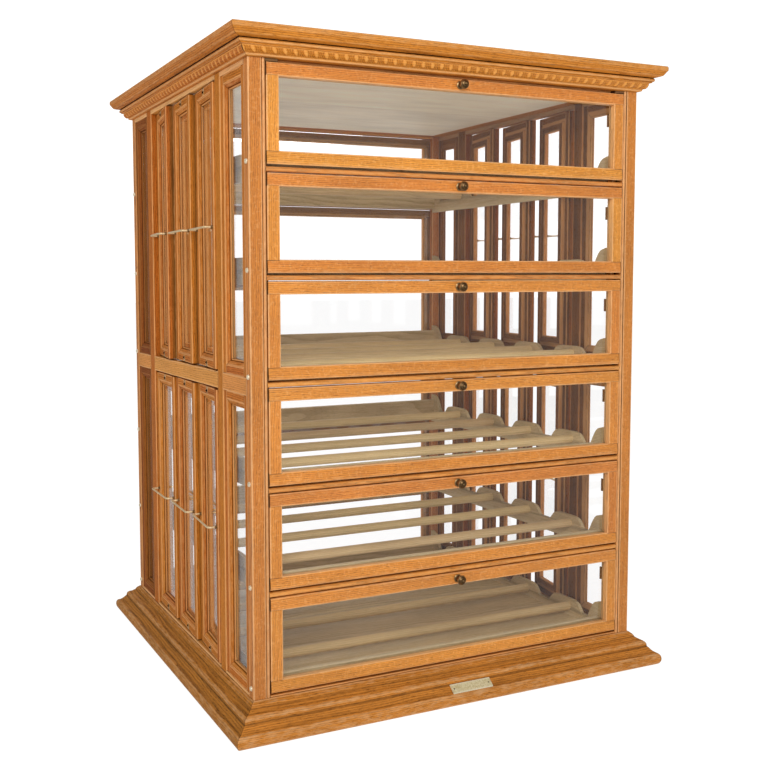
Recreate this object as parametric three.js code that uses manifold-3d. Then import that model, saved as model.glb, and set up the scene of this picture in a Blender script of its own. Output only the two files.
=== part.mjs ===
// Haberdashery cabinet: an oak case glazed on four sides, with six drop doors, twelve turning side
// sashes and a notched dowel rack in each tier. Millimetres, Z up, doors towards -Y. The origin lies
// on the floor under the middle.
import * as THREE from 'three';
import { mergeVertices } from 'three/addons/utils/BufferGeometryUtils.js';
import Module from 'manifold-3d';

const wasm = await Module();
wasm.setup();

// Carcass
const bodyWidth = 720;
const bodyDepth = 660;
const postHeight = 957;
const baseHeight = 55;
const baseOverhang = 42.5;
const floorThickness = 20;
const plinthWall = 26;
const corniceHeight = 41;
const corniceOverhang = 36.5;

// Clearances
const jointGap = 0.3;
const seatGap = 0.3;
const runGap = 0.6;
const overrun = 1;

// Corner posts: face and side widths, the bead beside the doors, and the stop behind it
const postFace = 21;
const postSide = 19;
const postBead = 6.3;
const postQuirk = 0.7;
const grooveDepth = 2.5;
const postEase = 1.5;
const stopWidth = 9;
const postDepth = 30;

// Doors
const tierCount = 6;
const doorTopGap = 5;
const doorHeadGap = 1.5;
const doorSideGap = 1.5;
const doorThickness = 16;
const doorStile = 20;
const doorTopRail = 19.5;
const doorBottomRail = 19.5;
const doorReveal = 9.4;
const doorEdgeRound = 2.5;
const sightEase = 1.2;
const sillHeight = 2.4;
const beadRailHeight = 7.6;
const beadSetback = 0.8;
const pivotRise = 5;
const pivotRadius = 2;
const pivotReach = 11;
const glassThickness = 3;
const rebate = 5;

// Knobs: rose, neck and head
const knobRoseRadius = 6.8;
const knobRoseHeight = 1.6;
const knobNeckRadius = 3.8;
const knobNeckHeight = 7;
const knobHeadRadius = 7.8;
const knobHeight = 19;

// Side frames
const sideThickness = 18;
const sideSill = 4;
const sideTopRail = 7.5;
const midRailBottom = 462;
const midRailHeight = 27;
const frontPaneWidth = 105.2;
const rearPaneWidth = 90.7;
const frontMullion = 24;
const rearMullion = 28.5;
const fixedRecess = 1.5;
const fixedEdge = 2;
const letIn = 0.5;

// Sashes: count in a tier, gaps, frame section and wire handle
const sashCount = 3;
const sashSpacing = 5;
const sashEdgeGap = 1.5;
const sashEndGap = 3;
const sashRecess = 2;
const sashThickness = 15;
const sashStile = 23;
const sashFlat = 13.5;
const sashQuirkDepth = 1.6;
const sashLipDepth = 6;
const sashReveal = 8;
const sashEase = 0.8;
const handleWire = 1.7;
const handleProud = 15;
const handleInset = 8;
const handleBend = 5;
const handleRoot = 4;

// How far each left sash stands turned, rear edge in, in degrees, from the rear to the front
const leftUpperTurns = [8, 4.3, 4.8];
const leftLowerTurns = [1, 2.5, 4];
const rightTurns = [-10, -9, -10];

// Racks
const rackInset = 30;
const rackThickness = 7;
const rackDrop = 18;
const rackEndRise = 44;
const rackEndFlat = 3;
const rackEndRun = 35;
const rodCount = 4;
const rodLead = 93;
const rodPitch = 130;
const rodRadius = 8;
const rodRise = 11;
const rodTenon = 3;
const hollowDrop = 4;
const toothRise = 14;
const toothLead = 12;
const toothTail = 33;
const toothRun = 26.5;
const ledgeThickness = 10;
const frontLedgeRise = 17.5;
const rearLedgeRise = 33;
const ledgeDrop = 11;

// Plate on the base, resting across the hollow between two ridges
const plateWidth = 76;
const plateThickness = 1;
const plateOffset = 8;
const plateMargin = 0.5;

// Outline of the base from its foot up, as shares of its overhang and its height
const lowRidgeShare = [0.9, 0.369];
const highRidgeShare = [0.565, 0.573];
const baseShares = [
  [0.85, 0], [0.965, 0.11], [1, 0.2], [0.972, 0.31], lowRidgeShare, [0.765, 0.427], [0.647, 0.51],
  highRidgeShare, [0.565, 0.636], [0.518, 0.7], [0.447, 0.745], [0.306, 0.8], [0.224, 0.845],
  [0.188, 0.873], [0.118, 0.945], [0.035, 1],
];

// Outline of the cornice from the posts up, as shares of its overhang and its height
const corniceShares = [
  [0, 0], [0.055, 0.007], [0.15, 0.029], [0.17, 0.063], [0.17, 0.083], [0.26, 0.134], [0.342, 0.22],
  [0.392, 0.329], [0.48, 0.346], [0.48, 0.371], [0.548, 0.4], [0.575, 0.454], [0.548, 0.512],
  [0.51, 0.537], [0.603, 0.556], [0.822, 0.605], [0.877, 0.659], [0.945, 0.751], [0.973, 0.785],
  [1, 0.81], [1, 0.941], [0.97, 0.985], [0.918, 1],
];

// The round of the sash moulding between its quirk and its lip, and where the lip starts, as shares
const ovoloShares = [[0.3, 0.08], [0.58, 0.35], [0.74, 0.8]];
const lipStartShare = 0.76;

// The round shoulder between a rack's tooth and its hollow, as shares of its run and its drop
const shoulderShare = [0.5, 0.2];

// Height of the rings of a knob's dome, as shares of the dome
const domeShares = [0, 0.35, 0.7, 0.92, 1];

// Where along the thickness of a door its rounded edges are sampled, as shares of half of it
const edgeShares = [0, 0.03, 0.1, 0.22, 0.4];

// Sides of the round pieces
const rodSides = 12;
const pinSides = 8;
const wireSides = 5;
const wireSteps = 22;
const knobSides = 14;

// Sizes that follow
const halfWidth = bodyWidth / 2;
const halfDepth = bodyDepth / 2;
const bodyTop = baseHeight + postHeight;
const doorSwingGap = doorThickness / 2 - pivotRise + runGap;
const doorGap = doorHeadGap + beadRailHeight + doorSwingGap;
const doorStack = postHeight - doorTopGap - sillHeight - doorSwingGap;
const doorHeight = (doorStack - (tierCount - 1) * doorGap) / tierCount;
const postInner = halfWidth - postFace - postBead;
const doorHalf = postInner - doorSideGap;
const stopFront = doorThickness + runGap;
const sideStart = postSide + jointGap;
const sashZoneStart = sideStart + frontPaneWidth + frontMullion;
const sashZoneEnd = bodyDepth - sideStart - rearPaneWidth - rearMullion;
const sashZone = sashZoneEnd - sashZoneStart;
const sashWidth = (sashZone - 2 * sashEdgeGap - (sashCount - 1) * sashSpacing) / sashCount;
const rackInner = halfWidth - rackInset - rackThickness;
const lowerTier = { bottom: baseHeight + sideSill, top: baseHeight + midRailBottom };
const upperTier = { bottom: lowerTier.top + midRailHeight, top: bodyTop - sideTopRail };

function tierBottom(tier) {
  return baseHeight + sillHeight + doorSwingGap + (tierCount - tier) * (doorHeight + doorGap);
}

const oak = new THREE.MeshStandardMaterial({ color: '#b9783c', roughness: 0.5, metalness: 0 });
const oakInner = new THREE.MeshStandardMaterial({ color: '#a08a6c', roughness: 0.6, metalness: 0 });
const brass = new THREE.MeshStandardMaterial({ color: '#b8a37a', roughness: 0.35, metalness: 1 });
const bronze = new THREE.MeshStandardMaterial({ color: '#6b5136', roughness: 0.4, metalness: 1 });
const glass = new THREE.MeshStandardMaterial({
  color: '#dfe4dc', roughness: 0.05, metalness: 0, transparent: true, opacity: 0.3,
});

function toSolid(geometry) {
  const bare = geometry.clone();
  bare.deleteAttribute('normal');
  bare.deleteAttribute('uv');
  const merged = mergeVertices(bare);
  return new wasm.Manifold(new wasm.Mesh({
    numProp: 3,
    vertProperties: merged.attributes.position.array,
    triVerts: new Uint32Array(merged.index.array),
  }));
}

function toGeometry(solid) {
  const mesh = solid.getMesh();
  const geometry = new THREE.BufferGeometry();
  geometry.setAttribute('position', new THREE.BufferAttribute(mesh.vertProperties, 3));
  geometry.setIndex(new THREE.BufferAttribute(mesh.triVerts, 1));
  geometry.computeVertexNormals();
  return geometry;
}

function joined(pieces, cuts = []) {
  const whole = pieces.map(toSolid).reduce((sum, next) => sum.add(next));
  return toGeometry(cuts.map(toSolid).reduce((left, cut) => left.subtract(cut), whole));
}

function block(x0, x1, y0, y1, z0, z1) {
  const box = new THREE.BoxGeometry(Math.abs(x1 - x0), Math.abs(y1 - y0), Math.abs(z1 - z0));
  return box.translate((x0 + x1) / 2, (y0 + y1) / 2, (z0 + z1) / 2);
}

function outline(points) {
  return new THREE.Shape(points.map(([across, up]) => new THREE.Vector2(across, up)));
}

function alongZ(shape, z0, z1) {
  return new THREE.ExtrudeGeometry(shape, { depth: z1 - z0, bevelEnabled: false }).translate(0, 0, z0);
}

// Runs an outline drawn in depth and height along X
const depthHeightToWorld = new THREE.Matrix4().makeBasis(
  new THREE.Vector3(0, 1, 0),
  new THREE.Vector3(0, 0, 1),
  new THREE.Vector3(1, 0, 0),
);

function alongX(shape, x0, x1) {
  const bar = new THREE.ExtrudeGeometry(shape, { depth: x1 - x0, bevelEnabled: false });
  return bar.applyMatrix4(depthHeightToWorld).translate(x0, 0, 0);
}

function pinAlongX(radius, sides, x0, x1, y, z) {
  const pin = new THREE.CylinderGeometry(radius, radius, Math.abs(x1 - x0), sides);
  return pin.rotateZ(Math.PI / 2).translate((x0 + x1) / 2, y, z);
}

function pinAlongZ(radius, sides, z0, z1, x, y) {
  const pin = new THREE.CylinderGeometry(radius, radius, z1 - z0, sides);
  return pin.rotateX(Math.PI / 2).translate(x, y, (z0 + z1) / 2);
}

// Joins rectangles [x0, x1, y0, y1, z] into one skin: a ring meets its own start, a block gets two caps
function loft(rectangles, isRing) {
  const places = rectangles.flatMap(([x0, x1, y0, y1, z]) => [x0, y0, z, x1, y0, z, x1, y1, z, x0, y1, z]);
  const faces = [];
  const quad = (a, b, c, d) => faces.push(a, b, c, a, c, d);
  const count = rectangles.length;
  for (let step = 0; step < (isRing ? count : count - 1); step += 1) {
    const near = 4 * step;
    const far = 4 * ((step + 1) % count);
    for (let corner = 0; corner < 4; corner += 1) {
      const next = (corner + 1) % 4;
      quad(near + corner, near + next, far + next, far + corner);
    }
  }
  if (!isRing) {
    const last = 4 * (count - 1);
    quad(0, 3, 2, 1);
    quad(last, last + 1, last + 2, last + 3);
  }
  const geometry = new THREE.BufferGeometry();
  geometry.setAttribute('position', new THREE.Float32BufferAttribute(places, 3));
  geometry.setIndex(faces);
  geometry.computeVertexNormals();
  return geometry;
}

// A frame lies flat while it is lofted, face up, and is then stood up with its face towards -Y
function standUp(geometry) {
  return geometry.rotateX(Math.PI / 2);
}

function addMesh(parent, name, geometry, material) {
  const mesh = new THREE.Mesh(geometry, material);
  mesh.name = name;
  parent.add(mesh);
  return mesh;
}

function rectangleRound(overhang, z) {
  return [-halfWidth - overhang, halfWidth + overhang, -halfDepth - overhang, halfDepth + overhang, z];
}

function basePlinth() {
  const pocketCeiling = rectangleRound(-plinthWall, baseHeight - floorThickness);
  const pocketMouth = rectangleRound(-plinthWall, 0);
  const skirt = baseShares.map(([out, up]) => rectangleRound(out * baseOverhang, up * baseHeight));
  return loft([pocketCeiling, pocketMouth, ...skirt], false);
}

function corniceTop() {
  const steps = corniceShares.map(([out, up]) => (
    rectangleRound(out * corniceOverhang, bodyTop + up * corniceHeight)));
  return loft(steps, false);
}

// One corner post in plan: distance in from the side face, depth in from the front or rear face
function postOutline(sideSign, depthSign) {
  const beadStart = postFace + postQuirk;
  const beadEnd = postFace + postBead;
  const beadRadius = (beadEnd - beadStart) / 2;
  const beadSteps = [0, 1, 2, 3, 4, 5, 6];
  const bead = beadSteps.map((step) => {
    const angle = (Math.PI * step) / (beadSteps.length - 1);
    return [beadStart + beadRadius * (1 - Math.cos(angle)), beadRadius * (1 - Math.sin(angle))];
  });
  const corners = [
    [postEase, 0], [0, postEase], [0, postSide], [sideThickness + jointGap, postSide],
    [sideThickness + jointGap, postDepth], [postFace + postBead + stopWidth, postDepth],
    [postFace + postBead + stopWidth, stopFront], [beadEnd, stopFront],
    ...bead.reverse(),
    [postFace, beadRadius], [postFace, 0],
  ];
  return outline(corners.map(([inward, deep]) => [
    sideSign * (halfWidth - inward), depthSign * (halfDepth - deep)]));
}

function posts(depthSign) {
  return [-1, 1].map((side) => alongZ(postOutline(side, depthSign), baseHeight, bodyTop));
}

// A cross rail with a round nose in front, from the bead's setback to the back of the posts
function beadRail(zLow, zHigh, depthSign) {
  const nose = (zHigh - zLow) / 2;
  const noseSteps = [0, 1, 2, 3, 4, 5, 6];
  const roundNose = noseSteps.map((step) => {
    const angle = (Math.PI * step) / (noseSteps.length - 1);
    return [beadSetback + nose * (1 - Math.sin(angle)), zHigh - nose * (1 - Math.cos(angle))];
  });
  const back = postDepth - jointGap;
  const section = [[back, zHigh], ...roundNose, [back, zLow]];
  const shape = outline(section.map(([deep, up]) => [depthSign * (halfDepth - deep), up]));
  return alongX(shape, -postInner - overrun, postInner + overrun);
}

function doorPivots() {
  const pins = [];
  for (let tier = 1; tier <= tierCount; tier += 1) {
    for (const side of [-1, 1]) {
      const root = side * (postInner + overrun);
      const tip = side * (postInner - pivotReach);
      const axisDepth = doorThickness / 2 - halfDepth;
      pins.push(pinAlongX(pivotRadius, pinSides, root, tip, axisDepth, tierBottom(tier) + pivotRise));
    }
  }
  return pins;
}

function frontFrame() {
  const rails = [beadRail(baseHeight + jointGap, baseHeight + sillHeight, -1)];
  for (let tier = 1; tier < tierCount; tier += 1) {
    const top = tierBottom(tier) - doorSwingGap;
    rails.push(beadRail(top - beadRailHeight, top, -1));
  }
  return joined([...posts(-1), ...rails, ...doorPivots()]);
}

// The fixed back: a board with six lights, with a bead run between them as on the front
function backFrame() {
  const edge = [-postInner - overrun, postInner + overrun,
    baseHeight + jointGap, bodyTop - doorTopGap];
  const opening = doorHalf - doorStile;
  const lights = [];
  const grooves = [];
  for (let tier = 1; tier <= tierCount; tier += 1) {
    const bottom = tierBottom(tier);
    lights.push([-opening, opening, bottom + doorBottomRail, bottom + doorHeight - doorTopRail]);
    if (tier < tierCount) {
      const beadTop = bottom - doorSwingGap;
      const beadLow = beadTop - beadRailHeight;
      for (const [low, high] of [[beadTop, bottom], [beadLow - doorHeadGap, beadLow]]) {
        grooves.push(block(-doorHalf, doorHalf, halfDepth - grooveDepth, halfDepth + overrun, low, high));
      }
    }
  }
  const board = piercedBoard(edge, lights, halfDepth - doorThickness, halfDepth);
  return joined([...posts(1), board], grooves);
}

function backGlass() {
  const inner = halfDepth - doorThickness;
  const half = postInner - stopWidth - runGap;
  const low = tierBottom(tierCount);
  const high = tierBottom(1) + doorHeight - doorTopRail / 2;
  return block(-half, half, inner - seatGap - glassThickness, inner - seatGap, low, high);
}

// How far a door's edge is drawn in at each depth: round about the pivot below, a small round above
function doorBottomInset(deep) {
  const radius = doorThickness / 2;
  const rise = Math.sqrt(Math.max(0, radius * radius - (deep - radius) ** 2));
  return Math.max(0, pivotRise - rise);
}

function doorTopInset(deep) {
  const fromFace = Math.min(deep, doorThickness - deep);
  const inRound = Math.max(0, doorEdgeRound - fromFace);
  return doorEdgeRound - Math.sqrt(doorEdgeRound ** 2 - inRound ** 2);
}

function doorFrame() {
  const half = doorThickness / 2;
  const nearFront = edgeShares.map((share) => share * half);
  const depths = [...nearFront.map((deep) => doorThickness - deep), ...nearFront.reverse()];
  const edges = depths.map((deep) => [
    -doorHalf, doorHalf, doorBottomInset(deep), doorHeight - doorTopInset(deep), -deep]);
  const opening = (grow, deep) => [
    -doorHalf + doorStile - grow, doorHalf - doorStile + grow,
    doorBottomRail - grow, doorHeight - doorTopRail + grow, -deep];
  const sight = [
    opening(sightEase, 0), opening(0, sightEase), opening(0, doorReveal),
    opening(rebate, doorReveal), opening(rebate, doorThickness)];
  const sockets = [-1, 1].map((side) => pinAlongX(
    pivotRadius + seatGap, pinSides, side * (doorHalf + overrun),
    side * (postInner - pivotReach - overrun), half, pivotRise));
  return joined([standUp(loft([...edges, ...sight], true))], sockets);
}

function doorPane() {
  const half = doorHalf - doorStile + rebate - seatGap;
  const low = doorBottomRail - rebate + seatGap;
  const high = doorHeight - doorTopRail + rebate - seatGap;
  const front = doorReveal + seatGap;
  return block(-half, half, front, front + glassThickness, low, high);
}

function knob() {
  const neckTop = knobRoseHeight + knobNeckHeight;
  const dome = domeShares.map((share) => new THREE.Vector2(
    knobHeadRadius * Math.sqrt(Math.max(0, 1 - share * share)),
    neckTop + knobNeckRadius / 2 + share * (knobHeight - neckTop - knobNeckRadius / 2)));
  const profile = [
    new THREE.Vector2(0, 0), new THREE.Vector2(knobRoseRadius, 0),
    new THREE.Vector2(knobRoseRadius, knobRoseHeight / 2),
    new THREE.Vector2(knobNeckRadius, knobRoseHeight),
    new THREE.Vector2(knobNeckRadius, neckTop - knobNeckRadius / 2),
    new THREE.Vector2((knobNeckRadius + knobHeadRadius) / 2, neckTop),
    ...dome,
  ];
  return new THREE.LatheGeometry(profile, knobSides).rotateX(Math.PI);
}

function addDoor(parent, tier) {
  const door = new THREE.Group();
  door.position.set(0, -halfDepth, tierBottom(tier));
  addMesh(door, `door_${tier}_frame`, doorFrame(), oak);
  addMesh(door, `door_${tier}_glass`, doorPane(), glass);
  addMesh(door, `door_${tier}_knob`, knob(), bronze).position.z = doorHeight - doorTopRail / 2;
  parent.add(door);
}

// The moulded front of a sash or a fixed light: insets from the outer edge against depth
const mouldingWidth = sashStile - sashFlat;
const mouldingRun = [
  [sashFlat, 0],
  [sashFlat, sashQuirkDepth],
  ...ovoloShares.map(([across, down]) => [
    sashFlat + mouldingWidth * across, sashQuirkDepth + (sashLipDepth - sashQuirkDepth) * down]),
  [sashFlat + mouldingWidth * lipStartShare, sashLipDepth],
  [sashStile, sashLipDepth],
];

function sashFrame(height, pinDepth) {
  const half = sashWidth / 2;
  const loop = ([inset, deep]) => [-half + inset, half - inset, inset, height - inset, -deep];
  const run = [
    [sashEase, sashThickness], [0, sashThickness - sashEase], [0, sashEase], [sashEase, 0],
    ...mouldingRun,
    [sashStile, sashReveal], [sashStile - rebate, sashReveal], [sashStile - rebate, sashThickness],
  ];
  const frame = standUp(loft(run.map(loop), true));
  const axis = sashThickness / 2;
  const bore = pivotRadius + seatGap;
  const sockets = [
    pinAlongZ(bore, pinSides, -overrun, pinDepth, 0, axis),
    pinAlongZ(bore, pinSides, height - pinDepth, height + overrun, 0, axis)];
  return joined([frame, wireHandle(height / 2)], sockets);
}

// A wire bent like a staple, its two legs let into the stiles
function wireHandle(height) {
  const foot = sashWidth / 2 - handleInset;
  const out = -handleProud;
  const at = (x, y) => new THREE.Vector3(x, y, height);
  const path = new THREE.CurvePath();
  path.add(new THREE.LineCurve3(at(-foot, handleRoot), at(-foot, out + handleBend)));
  path.add(new THREE.QuadraticBezierCurve3(at(-foot, out + handleBend), at(-foot, out),
    at(-foot + handleBend, out)));
  path.add(new THREE.LineCurve3(at(-foot + handleBend, out), at(foot - handleBend, out)));
  path.add(new THREE.QuadraticBezierCurve3(at(foot - handleBend, out), at(foot, out),
    at(foot, out + handleBend)));
  path.add(new THREE.LineCurve3(at(foot, out + handleBend), at(foot, handleRoot)));
  const section = [];
  for (let side = 0; side < wireSides; side += 1) {
    const angle = (2 * Math.PI * side) / wireSides;
    section.push([handleWire * Math.cos(angle), handleWire * Math.sin(angle)]);
  }
  return new THREE.ExtrudeGeometry(outline(section), { steps: wireSteps, extrudePath: path });
}

function sashPane(height) {
  const half = sashWidth / 2 - sashStile + rebate - seatGap;
  const low = sashStile - rebate + seatGap;
  const front = sashReveal + seatGap;
  return block(-half, half, front, front + glassThickness, low, height - low);
}

// Sash centres, as depths from the front face, from the rear one to the front one
function sashCentre(place) {
  const fromEnd = sashEdgeGap + sashWidth / 2 + (place - 1) * (sashWidth + sashSpacing);
  return sashZoneEnd - fromEnd;
}

// A board in elevation with openings cut through it, each given as [u0, u1, z0, z1]
function piercedBoard(edge, openings, face, back) {
  const through = openings.map(([u0, u1, z0, z1]) => block(u0, u1, face - overrun, back + overrun, z0, z1));
  const [left, right, bottom, top] = edge;
  return joined([block(left, right, face, back, bottom, top)], through);
}

// A side frame in its own plane: its face towards -Y, and u running with the given sign of depth.
// A front board is pierced for the lights and the sashes, a back board leaves room for the tall panes.
function sideFrame(sign) {
  const u = (deep) => sign * (deep - halfDepth);
  const end = bodyDepth - sideStart;
  const lip = fixedRecess + sashReveal;
  const edge = [u(sideStart), u(end), baseHeight, bodyTop];
  const columns = [
    [sideStart, sideStart + frontPaneWidth],
    [end, end - rearPaneWidth],
  ];
  const lights = columns.flatMap(([post, mullion]) => [lowerTier, upperTier].map((tier) => (
    [u(post + fixedEdge * Math.sign(mullion - post)), u(mullion), tier.bottom, tier.top])));
  const sashOpenings = [lowerTier, upperTier].map((tier) => (
    [u(sashZoneStart), u(sashZoneEnd), tier.bottom, tier.top]));
  const paneRooms = columns.map(([post, mullion]) => {
    const leg = (sashStile - rebate) * Math.sign(mullion - post);
    return [u(post + leg), u(mullion - leg), lowerTier.bottom, upperTier.top];
  });
  const pieces = [
    piercedBoard(edge, [...lights, ...sashOpenings], 0, lip),
    piercedBoard(edge, [...paneRooms, ...sashOpenings], lip, sideThickness),
    ...lights.map((light) => fixedLight(...light)),
  ];
  for (let place = 1; place <= sashCount; place += 1) {
    for (const tier of [lowerTier, upperTier]) {
      const axis = sashRecess + sashThickness / 2;
      const x = u(sashCentre(place));
      pieces.push(pinAlongZ(pivotRadius, pinSides, tier.bottom - overrun,
        tier.bottom + sashEndGap + pivotReach, x, axis));
      pieces.push(pinAlongZ(pivotRadius, pinSides, tier.top - sashEndGap - pivotReach,
        tier.top + overrun, x, axis));
    }
  }
  return joined(pieces);
}

// The moulded frame of a fixed light, let into the board round its opening
function fixedLight(u0, u1, bottom, top) {
  const left = Math.min(u0, u1) - letIn;
  const right = Math.max(u0, u1) + letIn;
  const loop = ([inset, deep]) => [left + inset, right - inset, bottom - letIn + inset,
    top + letIn - inset, -fixedRecess - deep];
  const back = sashReveal - letIn;
  const run = [[0, back], [0, 0], ...mouldingRun, [sashStile, back]];
  return standUp(loft(run.map(loop), true));
}

function fixedPane(u0, u1) {
  const front = fixedRecess + sashReveal + seatGap;
  const inset = sashStile - rebate + seatGap;
  const left = Math.min(u0, u1) + inset;
  const right = Math.max(u0, u1) - inset;
  return block(left, right, front, front + glassThickness, lowerTier.bottom, upperTier.top - seatGap);
}

function addSash(parent, name, sign, place, tier, turn) {
  const height = tier.top - tier.bottom - 2 * sashEndGap;
  const axis = sashThickness / 2;
  const sash = new THREE.Group();
  sash.position.set(sign * (sashCentre(place) - halfDepth), sashRecess + axis, tier.bottom + sashEndGap);
  sash.rotation.z = THREE.MathUtils.degToRad(sign * turn);
  const frame = sashFrame(height, pivotReach + overrun);
  addMesh(sash, `${name}_frame`, frame.translate(0, -axis, 0), oak);
  addMesh(sash, `${name}_glass`, sashPane(height).translate(0, -axis, 0), glass);
  parent.add(sash);
}

function addSide(parent, name, sign, turns) {
  const side = new THREE.Group();
  side.position.x = sign * halfWidth;
  side.rotation.z = (sign * Math.PI) / 2;
  const u = (deep) => sign * (deep - halfDepth);
  const end = bodyDepth - sideStart;
  addMesh(side, `${name}_side_frame`, sideFrame(sign), oak);
  addMesh(side, `${name}_front_fixed_glass`,
    fixedPane(u(sideStart), u(sideStart + frontPaneWidth)), glass);
  addMesh(side, `${name}_rear_fixed_glass`, fixedPane(u(end - rearPaneWidth), u(end)), glass);
  for (const [level, tier] of [['upper', upperTier], ['lower', lowerTier]]) {
    turns[level].forEach((turn, index) => {
      addSash(side, `${name}_${level}_sash_${index + 1}`, sign, index + 1, tier, turn);
    });
  }
  parent.add(side);
}

// The edge of a rack board with its raised ends, a tooth over each rod and flat hollows between them
function rackOutline(bottom) {
  const reach = halfDepth - postDepth;
  const hollow = bottom + rodRise - hollowDrop;
  const crown = bottom + rodRise + toothRise;
  const end = bottom + rackEndRise;
  const flats = rodDepths().map((rod) => [rod - toothLead, rod + toothTail, crown, toothRun]);
  flats.unshift([-reach, rackEndFlat - reach, end, rackEndRun]);
  flats.push([reach - rackEndFlat, reach, end, rackEndRun]);
  const top = [];
  for (const [front, rear, height, run] of flats) {
    const [along, down] = shoulderShare;
    const shoulder = height - (height - hollow) * down;
    top.push([front - run, hollow], [front - run * along, shoulder], [front, height]);
    top.push([rear, height], [rear + run * along, shoulder], [rear + run, hollow]);
  }
  const low = onFloorAtLeast(bottom - rackDrop);
  const inside = top.filter(([depth]) => Math.abs(depth) <= reach);
  return outline([...inside, [reach, low], [-reach, low]]);
}

// The lowest rack stands on the floor board
function onFloorAtLeast(height) {
  return Math.max(height, baseHeight);
}

function rodDepths() {
  const places = [];
  for (let rod = 0; rod < rodCount; rod += 1) {
    places.push(postDepth - halfDepth + rodLead + rod * rodPitch);
  }
  return places;
}

function tierRack(tier) {
  const bottom = tierBottom(tier);
  const shape = rackOutline(bottom);
  const boards = [alongX(shape, -rackInner - rackThickness, -rackInner),
    alongX(shape, rackInner, rackInner + rackThickness)];
  const span = rackInner + rodTenon;
  const rods = rodDepths().map((y) => pinAlongX(rodRadius, rodSides, -span, span, y, bottom + rodRise));
  const reach = halfDepth - postDepth;
  const low = onFloorAtLeast(bottom - ledgeDrop);
  const ledges = [
    block(-span, span, -reach, ledgeThickness - reach, low, bottom + frontLedgeRise),
    block(-span, span, reach - ledgeThickness, reach, low, bottom + rearLedgeRise)];
  return joined([...boards, ...rods, ...ledges]);
}

function addPlate(parent) {
  const ridge = ([out, up]) => new THREE.Vector2(-halfDepth - out * baseOverhang, up * baseHeight);
  const low = ridge(lowRidgeShare);
  const high = ridge(highRidgeShare);
  const slope = high.clone().sub(low);
  const outward = new THREE.Vector2(-slope.y, slope.x).normalize();
  const lift = plateThickness / 2 + seatGap;
  const middle = low.clone().add(high).multiplyScalar(0.5).addScaledVector(outward, lift);
  const box = new THREE.BoxGeometry(plateWidth, slope.length() - 2 * plateMargin, plateThickness);
  const plate = addMesh(parent, 'nameplate', box, brass);
  plate.position.set(plateOffset, middle.x, middle.y);
  plate.rotation.x = Math.atan2(slope.y, slope.x);
}

const cabinet = new THREE.Group();
addMesh(cabinet, 'base_plinth', basePlinth(), oak);
addMesh(cabinet, 'cornice_top', corniceTop(), oak);
addMesh(cabinet, 'front_frame', frontFrame(), oak);
addMesh(cabinet, 'back_frame', backFrame(), oak);
addMesh(cabinet, 'back_glass', backGlass(), glass);
addPlate(cabinet);
addSide(cabinet, 'left', -1, { upper: leftUpperTurns, lower: leftLowerTurns });
addSide(cabinet, 'right', 1, { upper: rightTurns, lower: rightTurns });
for (let tier = 1; tier <= tierCount; tier += 1) {
  addMesh(cabinet, `tier_${tier}_rack`, tierRack(tier), oakInner);
  addDoor(cabinet, tier);
}

export default cabinet;
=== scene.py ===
# The haberdashery cabinet dressed for its picture. Every wooden node is laid out again as single lengths
# of oak with rounded arrises, tight joints and a grain of their own. Shapes are worked out in millimetres.
import math

import bpy
import numpy as np
from mathutils import Matrix, Vector


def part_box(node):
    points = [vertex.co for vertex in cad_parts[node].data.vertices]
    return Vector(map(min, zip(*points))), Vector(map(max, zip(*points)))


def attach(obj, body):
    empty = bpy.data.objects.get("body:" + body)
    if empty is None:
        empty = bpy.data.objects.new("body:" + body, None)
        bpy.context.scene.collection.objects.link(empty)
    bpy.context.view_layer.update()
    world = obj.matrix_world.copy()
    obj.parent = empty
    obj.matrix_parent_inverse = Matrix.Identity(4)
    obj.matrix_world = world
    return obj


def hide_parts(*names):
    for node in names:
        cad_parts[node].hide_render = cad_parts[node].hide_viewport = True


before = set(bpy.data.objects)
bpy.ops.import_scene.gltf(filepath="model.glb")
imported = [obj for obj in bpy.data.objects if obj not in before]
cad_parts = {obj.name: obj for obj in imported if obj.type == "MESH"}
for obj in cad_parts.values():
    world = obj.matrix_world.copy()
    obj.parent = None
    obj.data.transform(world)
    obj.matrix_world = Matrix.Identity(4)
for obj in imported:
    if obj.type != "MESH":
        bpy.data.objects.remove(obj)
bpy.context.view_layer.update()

mm = 0.001
xAxis, yAxis, zAxis = np.eye(3)
woodDraws = np.random.default_rng(11)   # every length of wood draws its place in the tree from here
treeReach = dict(swing=12, near=70, away=160, run=3000, turnedRun=500)   # how far the draws go, degrees and mm
arris = 0.8   # the radius of an eased edge
hairGap = 0.4   # between loose boards and what lies beside them
seam = 0.3   # between a rail and the base, and how deep small fittings sit in the wood
shellacEdge = 1.0   # how far the shellac runs round an edge
noEnd = 99.0   # so far from any end that nothing darkens
wearSpread = 1.5   # how far from an arris its wear reaches


def boxOf(node):
    low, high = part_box(node)
    return np.array(low) / mm, np.array(high) / mm


# The case as the frame gives it
caseLow, caseHigh = boxOf("front_frame")
halfWidth, halfDepth = caseHigh[0], -caseLow[1]
baseTop, bodyTop = caseLow[2], caseHigh[2]
corniceTop = boxOf("cornice_top")[1][2]
tiers = range(1, 7)
doorBoxes = {tier: boxOf(f"door_{tier}_frame") for tier in tiers}
doorBottoms = {tier: doorBoxes[tier][0][2] for tier in tiers}
doorHalf = doorBoxes[1][1][0]
doorHeight = doorBoxes[1][1][2] - doorBoxes[1][0][2]

# Outlines


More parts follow.
